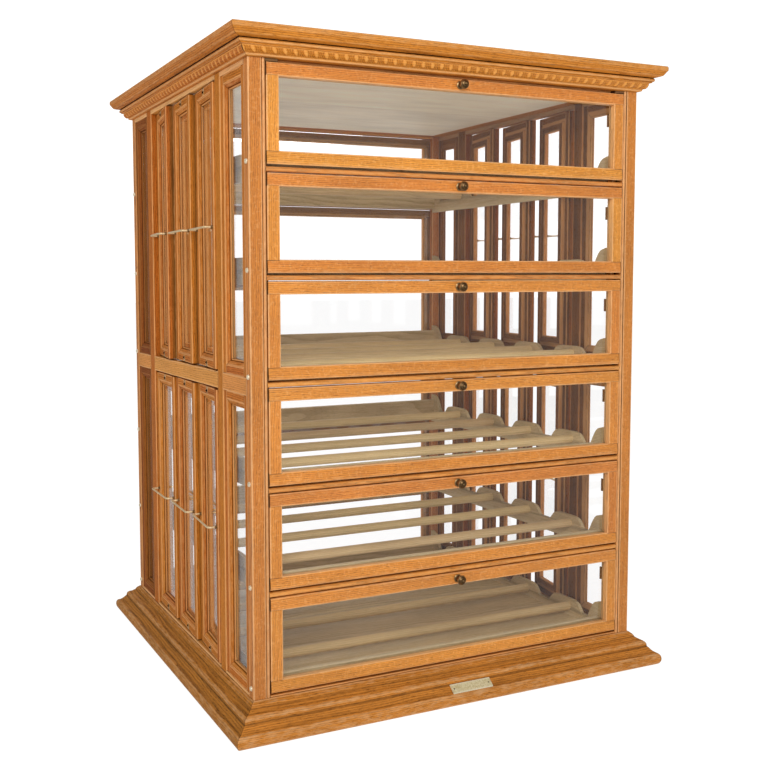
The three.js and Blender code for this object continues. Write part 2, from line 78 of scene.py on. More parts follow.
def rounded(corners, steps=5):
    # A closed outline of corners [x, y, radius]: each corner turns on a true arc between its two tangents
    points = []
    for index, (x, y, radius) in enumerate(corners):
        corner = np.array([x, y], float)
        if radius == 0:
            points.append(corner[None, :])
            continue
        before = np.array(corners[index - 1][:2]) - corner
        after = np.array(corners[(index + 1) % len(corners)][:2]) - corner
        before /= np.hypot(*before)
        after /= np.hypot(*after)
        half = math.acos(np.clip(before @ after, -1, 1)) / 2
        middle = (before + after) / np.hypot(*(before + after))
        centre = corner + middle * radius / math.sin(half)
        first = corner + before * radius / math.tan(half) - centre
        last = corner + after * radius / math.tan(half) - centre
        sweep = math.pi - 2 * half
        share = np.linspace(0, 1, steps + 1)[:, None]
        turned = np.sin((1 - share) * sweep) * first + np.sin(share * sweep) * last
        points.append(centre + turned / math.sin(sweep))
    return clean(np.concatenate(points))


def block(x, y, radii, steps=5):
    # A rectangle from x[0] to x[1] and from y[0] to y[1]; its corners go round from the low ones
    corners = ((x[0], y[0]), (x[1], y[0]), (x[1], y[1]), (x[0], y[1]))
    return rounded([(*corner, radius) for corner, radius in zip(corners, radii)], steps)


def clean(points):
    # Drops a point that lies on the one before it
    step = np.hypot(*(points - np.roll(points, 1, axis=0)).T)
    return points[step > 1e-4]


def spline(points, steps=5):
    # A smooth run through its points: each stretch is a cubic, its end slopes half the way between neighbours
    points = np.asarray(points, float)
    padded = np.concatenate([2 * points[:1] - points[1:2], points, 2 * points[-1:] - points[-2:-1]])
    p0, p1, p2, p3 = padded[:-3], padded[1:-2], padded[2:-1], padded[3:]
    t = np.linspace(0, 1, steps, endpoint=False)[:, None, None]
    run = (p1 + (p2 - p0) * t / 2 + (p0 - 2.5 * p1 + 2 * p2 - p3 / 2) * t ** 2
           + (1.5 * p1 - 1.5 * p2 + p3 / 2 - p0 / 2) * t ** 3)
    return np.concatenate([run.transpose(1, 0, 2).reshape(-1, 2), points[-1:]])


def mouldingLine(runs, overhang, height):
    # Joins smooth runs given in shares of the overhang and the height; their meetings stay sharp
    line = np.concatenate([spline(run) if len(run) > 2 else np.array(run, float) for run in runs])
    return clean(line * [overhang, height])


def finePoints(outline, near=1.3, further=2.6, longFlat=7):
    # Long flats get two more points near each end, so that wear can stay at the arrises
    gap = np.roll(outline, -1, axis=0) - outline
    length = np.hypot(*gap.T)
    first, second = near / length, further * near / length
    stops = np.stack([0 * length, first, second, 1 - second, 1 - first], 1)
    keep = np.repeat((length > longFlat * near)[:, None], 5, axis=1)
    keep[:, 0] = True
    return (outline[:, None, :] + gap[:, None, :] * stops[:, :, None])[keep]


def crestOf(outline, spread):
    # Wear on what stands proud, and dirt with painted shade in the hollows: at each point, the turns of the whole
    # outline, faded with the distance along it; hollows are negative
    ahead = np.roll(outline, -1, axis=0) - outline
    behind = np.roll(ahead, 1, axis=0)
    turn = np.arctan2(behind[:, 0] * ahead[:, 1] - behind[:, 1] * ahead[:, 0], (behind * ahead).sum(1))
    place = np.concatenate([[0], np.cumsum(np.hypot(*ahead.T))])
    apart = np.abs(place[:-1, None] - place[None, :-1])
    apart = np.minimum(apart, place[-1] - apart)
    return np.exp(-(apart / spread) ** 2) @ turn * np.sign(turn.sum())


# Lengths of wood


def bands(count, rows):
    # The four-cornered faces between one row of points and the next, each row a closed round of count points
    point = np.arange(count)
    following = (point + 1) % count
    base = count * np.arange(rows - 1)[:, None]
    return np.stack([base + point, base + following, base + count + following, base + count + point], -1)


def member(outline, corner, along, inward, deep, length, mitre=(0, 0), trim=(0, 0), cut="rift",
           grain=(0, 1, 2), steps=1, relief=None, fine=True, bareFrom=None, spread=wearSpread, toneShift=0.0,
           jointed=True):
    # One length: place = corner + along t + inward i + deep d. The closed outline gives (i, d), and t runs
    # from trim + mitre i to length - trim - mitre i, in equal steps. Relief moves i and d by step and point.
    # What lies deeper than bareFrom was never shellacked. The tone shift makes a length darker or lighter.
    # A jointed length is dark with old dirt at its ends.
    outline = finePoints(np.asarray(outline, float)) if fine else np.asarray(outline, float)
    inset, depth = outline.T
    # the crest drives wear on what stands proud and dirt with painted shade in the hollows
    crest = crestOf(outline, spread)
    startT = trim[0] + mitre[0] * inset
    endT = length - trim[1] - mitre[1] * inset
    share = np.linspace(0, 1, steps + 1)[:, None]
    t = startT + (endT - startT) * share
    i = np.broadcast_to(inset, t.shape)
    d = np.broadcast_to(depth, t.shape)
    worn = np.broadcast_to(crest, t.shape)
    if relief is not None:
        lift, raised = relief(share, outline)
        i, d, worn = i + lift[..., 0], d + lift[..., 1], worn + raised
    place = corner + t[..., None] * along + i[..., None] * inward + d[..., None] * deep
    # The pith lies off in a direction that makes the face quartered, plain or between the two
    swing = woodDraws.uniform(-treeReach["swing"], treeReach["swing"])
    turn = math.radians({"quarter": 0, "plain": 90, "rift": 45}[cut] + swing)
    far = woodDraws.uniform(treeReach["near"], treeReach["away"])
    pith = [woodDraws.uniform(0, treeReach["run"]), far * math.cos(turn), far * math.sin(turn)]
    local = np.stack([t, i, d], -1)[..., list(grain)] + pith
    tone = np.full_like(t, woodDraws.uniform(-1, 1) + toneShift)
    clear = 0.0 if jointed else noEnd
    ends = np.stack([t - startT + clear, endT - t + clear, tone], -1)
    bare = np.zeros_like(t) if bareFrom is None else np.clip((d - bareFrom) * 2, 0, 1)
    count = len(outline)
    quads = bands(count, steps + 1)
    caps = [np.arange(count)[::-1], count * steps + np.arange(count)]
    x, y = outline.T
    area = (x * np.roll(y, -1) - y * np.roll(x, -1)).sum()
    if area * (np.cross(inward, deep) @ along) < 0:
        quads = quads[..., ::-1]
        caps = [cap[::-1] for cap in caps]
    faces = quads.reshape(-1, 4).tolist() + [cap.tolist() for cap in caps]
    place, local, ends = (values.reshape(-1, 3) for values in (place, local, ends))
    return place, faces, local, ends, worn.reshape(-1), bare.reshape(-1)


def unjointed(place, faces, local, worn):
    # A turned, bent or cast length: no end of it is dark, and it has no tone or bare side of its own
    ends = np.tile([noEnd, noEnd, 0.0], (len(place), 1))
    return place, faces, local, ends, worn, np.zeros(len(place))


def addPiece(name, lengths, material, body, nodes=(), sharp=32):
    # Joins the lengths into one mesh in metres, with their grain, ends and crest as point attributes
    places, faces, offset = [], [], 0
    for place, memberFaces, *_ in lengths:
        faces += [[corner + offset for corner in face] for face in memberFaces]
        places.append(place)
        offset += len(place)
    mesh = bpy.data.meshes.new(name)
    mesh.from_pydata((np.concatenate(places) * mm).tolist(), [], faces)
    vector, number = ("FLOAT_VECTOR", "vector"), ("FLOAT", "value")
    kinds = dict(wood=vector, ends=vector, crest=number, bare=number)
    for index, (key, (kind, field)) in enumerate(kinds.items(), 2):
        values = np.concatenate([length[index] for length in lengths]).astype(np.float32)
        mesh.attributes.new(key, kind, "POINT").data.foreach_set(field, values.ravel())
    mesh.shade_smooth()
    mesh.set_sharp_from_angle(angle=math.radians(sharp))
    mesh.materials.append(material)
    mesh.update()
    piece = bpy.data.objects.new(name, mesh)
    bpy.context.scene.collection.objects.link(piece)
    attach(piece, body)
    if nodes:
        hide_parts(*nodes)
    return piece


def turned(profile, origin, axis, side, sides=28):
    # A turned piece: the profile [radius, height] goes round the axis; its ends close on poles
    profile = np.asarray(profile, float)
    other = np.cross(axis, side)
    angle = np.linspace(0, 2 * math.pi, sides, endpoint=False)
    spoke = np.cos(angle)[:, None] * side + np.sin(angle)[:, None] * other
    rings = origin + profile[1:-1, 0, None, None] * spoke + profile[1:-1, 1, None, None] * axis
    poles = origin + profile[[0, -1], 1, None] * axis
    place = np.concatenate([rings.reshape(-1, 3), poles])
    count = len(rings)
    point = np.arange(sides)
    following = (point + 1) % sides
    first, last = count * sides, count * sides + 1
    low = np.stack([0 * point + first, following, point], -1)
    high = np.stack([0 * point + last, sides * (count - 1) + point, sides * (count - 1) + following], -1)
    faces = bands(sides, count).reshape(-1, 4).tolist() + low.tolist() + high.tolist()
    closed = np.concatenate([profile, [[-1e-3, profile[:, 1].mean()]]])
    crest = np.clip(crestOf(closed, wearSpread), -2, 2)[:-1]
    worn = np.concatenate([np.repeat(crest[1:-1], sides), crest[[0, -1]]])
    return unjointed(place, faces, place - origin + woodDraws.uniform(0, treeReach["turnedRun"], 3), worn)


def wire(points, radius, binormal, sides=10, tipRadius=0.35, tipReach=0.5):
    # A round wire: place = path + radius (cos a normal + sin a binormal), with both ends drawn to a point
    points = np.asarray(points, float)
    tangent = np.gradient(points, axis=0)
    tangent /= np.linalg.norm(tangent, axis=1)[:, None]
    normal = np.cross(binormal, tangent)
    points = np.concatenate([points[:1], points, points[-1:]])
    normal = np.concatenate([normal[:1], normal, normal[-1:]])
    reach = np.full(len(points), radius, float)
    reach[[0, -1]] = tipRadius * radius
    points[0] -= tipReach * radius * tangent[0]
    points[-1] += tipReach * radius * tangent[-1]
    angle = np.linspace(0, 2 * math.pi, sides, endpoint=False)
    spoke = np.cos(angle)[None, :, None] * normal[:, None, :] + np.sin(angle)[None, :, None] * binormal
    place = (points[:, None, :] + reach[:, None, None] * spoke).reshape(-1, 3)
    point = np.arange(sides)
    quads = bands(sides, len(points))[..., [0, 3, 2, 1]]
    faces = quads.reshape(-1, 4).tolist() + [point.tolist(), (sides * (len(points) - 1) + point[::-1]).tolist()]
    return unjointed(place, faces, place - points[0], np.zeros(len(place)))


def turnAbout(lengths, centre, degrees):
    # Turns finished lengths about a vertical line
    spin = np.array(Matrix.Rotation(math.radians(degrees), 3, "Z"))
    return [((place - centre) @ spin.T + centre, *rest) for place, *rest in lengths]


def surround(outlines, origin, axes, size, mitred, railTrim=(0, 0), stileTrim=(0, 0), **more):
    # Four lengths round a rectangle whose axes run across, up and into the wood. Mitred ones meet at 45
    # degrees; otherwise the trims give how far rails and stiles stop short of the rectangle at each end.
    bottom, top, left, right = outlines
    across, up, deep = axes
    width, height = size
    more = dict(mitre=(1, 1) if mitred else (0, 0), **more)
    return [
        member(bottom, origin, across, up, deep, width, trim=railTrim, **more),
        member(top, origin + height * up, across, -up, deep, width, trim=railTrim, **more),
        member(left, origin, up, across, deep, height, trim=stileTrim, **more),
        member(right, origin + width * across, up, -across, deep, height, trim=stileTrim, **more),
    ]


# Materials


def toLinear(hexColour):
    # sRGB hex to linear colour
    values = np.array([int(hexColour[place:place + 2], 16) for place in (1, 3, 5)]) / 255
    linear = np.where(values <= 0.04045, values / 12.92, ((values + 0.055) / 1.055) ** 2.4)
    return (*linear.tolist(), 1.0)


def add(tree, kind, sources=(), **settings):
    # Adds one node, sets its properties, and feeds its sockets, in order or by name, with values or other
    # nodes' outputs. A node given as a source stands for its first output.
    node = tree.nodes.new("ShaderNode" + kind)
    for key, value in settings.items():
        setattr(node, key, value)
    for socket, source in sources.items() if isinstance(sources, dict) else enumerate(sources):
        if isinstance(source, bpy.types.Node):
            source = source.outputs[0]
        if isinstance(source, bpy.types.NodeSocket):
            tree.links.new(source, node.inputs[socket])
        else:
            node.inputs[socket].default_value = source
    return node


def newMaterial(name):
    material = bpy.data.materials.new(name)
    material.use_nodes = True
    material.node_tree.nodes.clear()
    return material, material.node_tree


def patternAt(tree, place, size, detail, roughness=0.5):
    # Noise whose spots are as large along each axis as the size says, in the units of the place
    at = add(tree, "VectorMath", [place, [1 / each for each in size]], operation="MULTIPLY")
    return add(tree, "TexNoise", {"Vector": at, "Scale": 1.0, "Detail": detail, "Roughness": roughness})


# Sizes in millimetres of rings, sway, pores, flecks, streaks and patches; the bump's height is in metres
oakLook = dict(
    ring=2.7, ringDepth=0.42, sway=(150, 45, 45), swayReach=9.0, lean=(0.012, 0.009), pore=(9.0, 0.45, 0.45),
    streak=(70, 2.2, 2.2), patch=(150, 40, 40), wear=(16, 5, 5), fleck=(3.6, 7.0, 0.9), fleckDistance=110,
    roughness=(0.42, 0.58), bump=0.0003, joint=0.8, coatRoughness=0.28, bare=("#B07E42", "#6A421C"))
# For each pattern: between which two values it counts, and what it gives at the two where that is fixed
oakLevels = dict(
    early=(0.0, 0.75, 1.0, 0.0), poreEdge=(-0.10, 0.63), poreFade=0.10, flecks=(0.54, 0.64, 0.0),
    streaks=(0.3, 0.72, 0.0, 0.5), patches=(0.3, 0.7, 0.9, 1.08), toneValue=0.07, toneHue=(0.006, 0.5),
    grey=(0.4, 1.1, 0.0, 1.0), wearShare=1.3, worn=(0.9, 1.9, 0.0), dirtAndShadeShare=0.5, dirtAndHollowShade=(0.12, -0.75, 0.0),
    jointStart=0.15, jointDark=0.75, rough=(0.3, 0.7), poreRough=0.2, poreDepth=-1.0, streakDepth=0.6)


def oakMaterial(name, colours, fleckAmount, poreAmount, wornAmount, dirtAndShadeAmount=1.0, look=oakLook, gloss=0.0,
                shine=0.35):
    # Oak, sawn and scraped, under old shellac: growth rings about a pith, open pores in the early wood, ray
    # flecks on quartered faces, dirt and painted shade in the hollows, and pale wear along the arrises
    material, tree = newMaterial(name)
    level = oakLevels
    light, dark, poreColour, fleckColour, wornColour, dirtAndShadeColour = map(toLinear, colours.split())
    bareLight, bareDark = map(toLinear, look["bare"])
    wood = add(tree, "Attribute", attribute_name="wood").outputs["Vector"]
    ends = add(tree, "Attribute", attribute_name="ends").outputs["Vector"]
    crest = add(tree, "Attribute", attribute_name="crest").outputs["Fac"]
    fromStart, fromEnd, tone = add(tree, "SeparateXYZ", [ends]).outputs

    # the sway of the grain along the length, and the lean of the tree, which draws rings out into flames
    swayNoise = patternAt(tree, wood, look["sway"], 2.0).outputs["Color"]
    sway = add(tree, "VectorMath", [swayNoise, (0.5, 0.5, 0.5)], operation="SUBTRACT")
    reach = (0.0, look["swayReach"], look["swayReach"])
    swayed = add(tree, "VectorMath", [sway, reach, wood], operation="MULTIPLY_ADD")
    alongGrain, acrossY, acrossZ = add(tree, "SeparateXYZ", [swayed]).outputs
    leanY = add(tree, "Math", [alongGrain, look["lean"][0], acrossY], operation="MULTIPLY_ADD")
    leanZ = add(tree, "Math", [alongGrain, look["lean"][1], acrossZ], operation="MULTIPLY_ADD")
    squareY = add(tree, "Math", [leanY, leanY], operation="MULTIPLY")
    square = add(tree, "Math", [leanZ, leanZ, squareY], operation="MULTIPLY_ADD")
    radius = add(tree, "Math", [square], operation="SQRT")
    angle = add(tree, "Math", [leanZ, leanY], operation="ARCTAN2")
    ring = add(tree, "Math", [radius, 1 / look["ring"]], operation="MULTIPLY")
    inRing = add(tree, "Math", [ring], operation="FRACT")
    early = add(tree, "MapRange", [inRing, *level["early"]], interpolation_type="SMOOTHERSTEP")

    # pores: short dark dashes, thick in the early wood
    poreNoise = patternAt(tree, swayed, look["pore"], 1.0)
    poreEdge = add(tree, "Math", [early, *level["poreEdge"]], operation="MULTIPLY_ADD")
    poreEnd = add(tree, "Math", [poreEdge, level["poreFade"]], operation="ADD")
    pores = add(tree, "MapRange", [poreNoise, poreEdge, poreEnd, 0.0, poreAmount])

    # streaks a few millimetres wide, and broad patches
    streaks = patternAt(tree, swayed, look["streak"], 3.0)
    patches = patternAt(tree, wood, look["patch"], 2.0)

    # flecks lie across the rays: along the grain, out along the radius, and round the pith
    fleckAlong, fleckOut, fleckRound = look["fleck"]
    lengthwise = add(tree, "Math", [alongGrain, 1 / fleckAlong], operation="MULTIPLY")
    out = add(tree, "Math", [radius, 1 / fleckOut], operation="MULTIPLY")
    roundPith = add(tree, "Math", [angle, look["fleckDistance"] / fleckRound], operation="MULTIPLY")
    fleckAt = add(tree, "CombineXYZ", [lengthwise, out, roundPith])
    fleckNoise = patternAt(tree, fleckAt, (1.0, 1.0, 1.0), 3.0, 0.6)
    flecks = add(tree, "MapRange", [fleckNoise, *level["flecks"], fleckAmount])

    # colour, from the broad to the fine
    ringShare = add(tree, "Math", [early, look["ringDepth"]], operation="MULTIPLY")
    streakShare = add(tree, "MapRange", [streaks, *level["streaks"]])
    darkShare = add(tree, "Math", [ringShare, streakShare], operation="ADD", use_clamp=True)
    colour = light
    for share, tint in ((darkShare, dark), (flecks, fleckColour), (pores, poreColour)):
        colour = add(tree, "Mix", {0: share, 6: colour, 7: tint}, data_type="RGBA").outputs[2]
    patchValue = add(tree, "MapRange", [patches, *level["patches"]])
    toneValue = add(tree, "Math", [tone, level["toneValue"], patchValue], operation="MULTIPLY_ADD")
    toneHue = add(tree, "Math", [tone, *level["toneHue"]], operation="MULTIPLY_ADD")
    colour = add(tree, "HueSaturation", {"Hue": toneHue, "Value": toneValue, "Color": colour}).outputs[0]

    # greyed wood on the inner faces, which never had shellac
    bare = add(tree, "Attribute", attribute_name="bare").outputs["Fac"]
    greyAt = add(tree, "Math", [streaks, 0.5, patches], operation="MULTIPLY_ADD")
    greyShare = add(tree, "MapRange", [greyAt, *level["grey"]])
    grey = bareLight
    for share, tint in ((greyShare, bareDark), (pores, poreColour)):
        grey = add(tree, "Mix", {0: share, 6: grey, 7: tint}, data_type="RGBA").outputs[2]

    # wear on what stands proud, broken up by noise, dirt and painted shade in what lies deep, and dark joint lines
    wearNoise = patternAt(tree, wood, look["wear"], 3.0)
    wearEdge = add(tree, "Math", [wearNoise, level["wearShare"], crest], operation="MULTIPLY_ADD")
    worn = add(tree, "MapRange", [wearEdge, *level["worn"], wornAmount])
    # the hollows darken with dirt and painted shade
    dirtAndShadeEdge = add(tree, "Math", [wearNoise, level["dirtAndShadeShare"], crest], operation="MULTIPLY_ADD")
    dirtAndHollowShade = add(tree, "MapRange", [dirtAndShadeEdge, *level["dirtAndHollowShade"], dirtAndShadeAmount])
    nearEnd = add(tree, "Math", [fromStart, fromEnd], operation="MINIMUM")
    joint = add(tree, "MapRange", [nearEnd, level["jointStart"], look["joint"], level["jointDark"], 0.0])
    for share, tint in ((bare, grey), (worn, wornColour), (dirtAndHollowShade, dirtAndShadeColour), (joint, dirtAndShadeColour)):
        colour = add(tree, "Mix", {0: share, 6: colour, 7: tint}, data_type="RGBA").outputs[2]

    rough = add(tree, "MapRange", [streaks, *level["rough"], *look["roughness"]])
    rough = add(tree, "Math", [pores, level["poreRough"], rough], operation="MULTIPLY_ADD")
    height = add(tree, "Math", [pores, level["poreDepth"], ringShare], operation="MULTIPLY_ADD")
    height = add(tree, "Math", [streaks, level["streakDepth"], height], operation="MULTIPLY_ADD")
    bump = add(tree, "Bump", {"Strength": 0.7, "Distance": look["bump"], "Height": height})
    shader = add(tree, "BsdfPrincipled", {
        "Base Color": colour, "Roughness": rough, "Normal": bump, "Specular IOR Level": shine,
        "Coat Weight": gloss, "Coat Roughness": look["coatRoughness"]})
    add(tree, "OutputMaterial", {"Surface": shader})
    return material


# Each wood's colours are those of the light and the dark wood, its pores, flecks, worn arrises, and dirt with
# painted shade in the hollows, and then come the amounts of flecks, pores, wear and dirt with painted shade
oak = oakMaterial(
    "shellackedOak", "#DE8C30 #AC6018 #6A3806 #E8A856 #F0BC7A #3E1C02", 0.2, 0.75, 0.45, gloss=0.12)
quarteredOak = oakMaterial(
    "quarteredShellackedOak", "#E29238 #B86C2A #7A420C #F4B870 #F6C890 #3E1C02", 0.27, 0.7, 0.45, gloss=0.12)
corniceOak = oakMaterial(
    "shellackedCorniceOak", "#CC7E28 #9C5614 #623206 #D6984C #E8B478 #381802", 0.2, 0.75, 0.5, shine=0.2)
postOak = oakMaterial(
    "quarteredPostOak", "#D68A36 #AC6628 #70400C #E6AE6C #F4C690 #3A1A02", 0.27, 0.7, 0.45, gloss=0.08,
    shine=0.3)
sideLook = oakLook | dict(bare=("#9A6226", "#56330E"))
sideOak = oakMaterial(
    "darkenedOak", "#C8762A #904A14 #522804 #D89044 #E8B074 #2C1202", 0.3, 0.75, 0.6, look=sideLook, shine=0.06)
# The rear lights' oak is darker than the front's: painted shade, as the light falls off towards the rear
shadedRearOak = oakMaterial(
    "rearOakPaintedShade", "#94501A #6A320E #3C1A04 #A4642C #BE8048 #200E02", 0.3, 0.75, 0.4, look=sideLook, shine=0.06)
railOak = oakMaterial(
    "palerRailOak", "#DC9448 #B87430 #7A4616 #E2A868 #EEC490 #3A1A04", 0.2, 0.7, 0.4, look=sideLook, shine=0.15)
baseOak = oakMaterial(
    "scuffedOak", "#B67226 #804A12 #4A2606 #C2863E #E2B888 #261202", 0.2, 0.8, 0.6, shine=0.12)
# The front length's oak is a lighter copy of the base oak: painted light, as the lamps fall most on the front
litBaseFrontOak = oakMaterial(
    "scuffedOakLitFront", "#D48C34 #A0641C #5C340A #DCA054 #F0CC9C #321802", 0.2, 0.8, 0.6, shine=0.15)
carvedOak = oakMaterial("pressedOak", "#CE8028 #A86016 #6A3A0A #D09048 #E8A450 #5A3008", 0.1, 0.3, 0.7, 0.75)
wornOak = oakMaterial("rubbedOakPatch", "#E2A45E #BC7A3A #7A4A1C #E6AC6C #F2CC98 #3A1A02", 0.1, 0.5, 0.5)
oldFillerOak = oakMaterial(
    "stainedFillerOak", "#7A5530 #5A3A1C #3A220C #7E5A34 #8A6238 #2A1606", 0.1, 0.6, 0.2, 0.8)
bareOak = oakMaterial("bareInnerOak", "#DCC69A #B89C6C #826A42 #E2D0A8 #E8DAB8 #5C4628", 0.15, 0.5, 0.4, 0.6)
rackBoardOak = oakMaterial(
    "scrubbedRackBoard", "#D8C096 #B0946A #7E6642 #DECBA2 #E6D6B2 #5C4628", 0.15, 0.4, 0.4, 0.5, shine=0.1)
# Near-white boards over the racks: painted light, for the floor's light thrown up under the ceiling
litCeilingWood = oakMaterial(
    "ceilingBoardPaintedLight", "#FFFAEC #F8ECD4 #D8C8A8 #FFFCF2 #FFFDF6 #A89474", 0.1, 0.3, 0.2, 0.5)
dowelWood = oakMaterial(
    "turnedBeechDowel", "#E6CA98 #CCAC76 #9C7A48 #EAD4A8 #F0DEB8 #6E5430", 0.1, 0.25, 0.2, 0.4)


def metalMaterial(name, colour, dullColour, roughness, crestColour=None, spot=2.5, bright=1.0):
    # Cast and drawn metal gone dull with handling: a mottled skin, its spots in millimetres, brighter where it
    # stands proud. Tarnish and old lacquer scatter light, so only the bright share mirrors.
    material, tree = newMaterial(name)
    place = add(tree, "TexCoord").outputs["Object"]
    mottle = patternAt(tree, place, [spot * mm] * 3, 4.0, 0.6)
    share = add(tree, "MapRange", [mottle, 0.35, 0.68, 0.0, 1.0])
    tints = {6: toLinear(colour), 7: toLinear(dullColour)}
    skin = add(tree, "Mix", {0: share, **tints}, data_type="RGBA").outputs[2]
    if crestColour:
        crest = add(tree, "Attribute", attribute_name="crest").outputs["Fac"]
        proud = add(tree, "MapRange", [crest, 0.1, 1.0, 0.0, 0.7])
        skin = add(tree, "Mix", {0: proud, 6: skin, 7: toLinear(crestColour)}, data_type="RGBA").outputs[2]
    rough = add(tree, "MapRange", [mottle, 0.3, 0.7, roughness - 0.08, roughness + 0.14])
    bump = add(tree, "Bump", {"Strength": 0.35, "Distance": 0.0001, "Height": mottle})
    shader = add(tree, "BsdfPrincipled", {
        "Base Color": skin, "Roughness": rough, "Normal": bump, "Metallic": bright})
    add(tree, "OutputMaterial", {"Surface": shader})
    return material


brass = metalMaterial("drawnBrass", "#F1DDB4", "#D8BE8C", 0.34, bright=0.5)
screwBrass = metalMaterial("platedScrewBrass", "#FFF2D8", "#E2CFA6", 0.28, bright=0.5)
bronze = metalMaterial("agedCastBronze", "#8A6A46", "#54402A", 0.4, "#B8986A")
tinPlate = metalMaterial("tarnishedNickelSilver", "#F0E4BC", "#CDBB86", 0.5, "#F6EED2", spot=3.0, bright=0.4)
iron = metalMaterial("blackenedIron", "#3A2A1C", "#1E140D", 0.6)


def glassMaterial(wavesPerMetre=(9.0, 9.0, 26.0)):
    # Drawn sheet glass: a faint wave in its faces; lamps reach through it
    material, tree = newMaterial("drawnSheetGlass")
    place = add(tree, "TexCoord").outputs["Object"]
    wave = patternAt(tree, place, [1 / waves for waves in wavesPerMetre], 1.0)
    bump = add(tree, "Bump", {"Strength": 0.1, "Distance": 0.001, "Height": wave})
    pane = add(tree, "BsdfPrincipled", {
        "Base Color": toLinear("#FFFFFF"), "Roughness": 0.0, "IOR": 1.38, "Transmission Weight": 1.0,
        "Normal": bump})
    clear = add(tree, "BsdfTransparent", {"Color": toLinear("#FAFAF8")})
    rays = add(tree, "LightPath").outputs
    lit = add(tree, "Math", [rays["Is Shadow Ray"], rays["Is Diffuse Ray"]], operation="MAXIMUM")
    add(tree, "OutputMaterial", {"Surface": add(tree, "MixShader", [lit, pane, clear])})
    return material


glass = glassMaterial()
for nodeName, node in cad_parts.items():
    if nodeName.endswith("glass"):
        node.data.materials.clear()
        node.data.materials.append(glass)
print("materials ready")

# Base: a moulded ring, mitred at its corners, round a floor of boards
base = dict(
    overhang=42.5, wall=26.0, floorThickness=20.0, boards=4, spread=2.6,
    line=[
        [[0.85, 0], [0.93, 0.04], [0.985, 0.12], [1, 0.2], [0.985, 0.28], [0.945, 0.335], [0.9, 0.369]],
        [[0.9, 0.369], [0.83, 0.385], [0.765, 0.42], [0.69, 0.475], [0.63, 0.53], [0.585, 0.56]],
        [[0.585, 0.56], [0.568, 0.6], [0.562, 0.64], [0.53, 0.695], [0.447, 0.745]],
        [[0.447, 0.745], [0.38, 0.76], [0.306, 0.795], [0.245, 0.83]],
        [[0.245, 0.83], [0.21, 0.85], [0.188, 0.885], [0.14, 0.935], [0.035, 1]],
    ])


def horizontalRing(outline, level, material, name, nodes, **more):
    # The outline's first coordinate is how far in from the case's face, its second the height
    width, depth = 2 * halfWidth, 2 * halfDepth
    sides = [((-1, -1), xAxis, yAxis, width), ((1, -1), yAxis, -xAxis, depth),
             ((1, 1), -xAxis, -yAxis, width), ((-1, 1), -yAxis, xAxis, depth)]
    lengths = []
    for (x, y), along, inward, length in sides:
        own = {key: value(length) if callable(value) else value for key, value in more.items()}
        corner = np.array([x * halfWidth, y * halfDepth, level])
        lengths.append(member(outline, corner, along, inward, zAxis, length, (1, 1), cut="plain", **own))
    return addPiece(name, lengths, material, "case", nodes)


def boards(name, count, ringWidth, z, material, nodes):
    # Boards side by side, running across the case inside a ring
    x, y = np.array([halfWidth, halfDepth]) - ringWidth - hairGap
    width = 2 * y / count
    section = block((0, width - hairGap), (0, z[1] - z[0]), [arris] * 4, 2)
    lengths = [member(section, np.array([-x, place * width - y, z[0]]), xAxis, yAxis, zAxis, 2 * x, cut="plain")
               for place in range(count)]
    addPiece(name, lengths, material, "case", nodes)


baseLine = mouldingLine(base["line"], base["overhang"], baseTop)
baseOutline = np.concatenate([baseLine * [-1, 1], [[base["wall"], baseTop], [base["wall"], 0]]])
baseRing = horizontalRing(baseOutline, 0, baseOak, "base_moulding", ["base_plinth"], spread=base["spread"])
baseRing.data.materials.append(litBaseFrontOak)   # the front length, the first of the four, takes the lighter copy: painted light on the lit front
polygonCount = len(baseRing.data.polygons)
litFrontLength = np.arange(polygonCount) < polygonCount // 4
baseRing.data.polygons.foreach_set("material_index", litFrontLength.astype(np.int32))
boards("base_floor_boards", base["boards"], base["wall"], (baseTop - base["floorThickness"], baseTop), bareOak,
       ["base_plinth"])

# A blank plate pinned at both ends on the slope of the base; it dips and rises a little along its length
plate = dict(slope=38.24, length=17.1, thickness=1.0, ease=0.45, wave=0.16, waves=(19, 7.3), face=0.5, steps=48)
platePin = dict(radius=1.2, edge=0.1, crown=0.6, rise=0.5, fromEnd=5.0, sides=12)
plateLow, plateHigh = boxOf("nameplate")
slope = math.radians(plate["slope"])
plateUp = math.cos(slope) * yAxis + math.sin(slope) * zAxis
plateOut = math.cos(slope) * zAxis - math.sin(slope) * yAxis
plateCorner = np.array([plateLow[0], *((plateLow + plateHigh) / 2)[1:]])
plateCorner = plateCorner - plateUp * plate["length"] / 2 + plateOut * plate["thickness"] / 2
plateSection = block((0, plate["length"]), (0, plate["thickness"]), (plate["ease"], plate["ease"], 0, 0))


def dented(share, outline):
    # The sheet's face moves in and out by a wave along its length that fades towards its back
    quick, slow = plate["waves"]
    lift = np.zeros((len(share), len(outline), 2))
    wave = plate["wave"] * np.sin(share * quick) * np.sin(share * slow + 1)
    lift[..., 1] = wave * (outline[:, 1] < plate["face"])
    return lift, 0 * lift[..., 0]


plateWidth = plateHigh[0] - plateLow[0]
sheet = member(plateSection, plateCorner, xAxis, plateUp, -plateOut, plateWidth, steps=plate["steps"],
               relief=dented)
addPiece("blank_plate", [sheet], tinPlate, "case", ["nameplate"])
pinProfile = [[0, -seam], [platePin["radius"], -seam], [platePin["radius"], platePin["edge"]],
              [platePin["crown"], platePin["rise"]], [0, platePin["rise"]]]
pins = [turned(pinProfile, plateCorner + place * xAxis + plate["length"] / 2 * plateUp, plateOut, xAxis,
               platePin["sides"]) for place in (platePin["fromEnd"], plateWidth - platePin["fromEnd"])]
addPiece("plate_pins", pins, iron, "case", ["nameplate"])
print("base done")

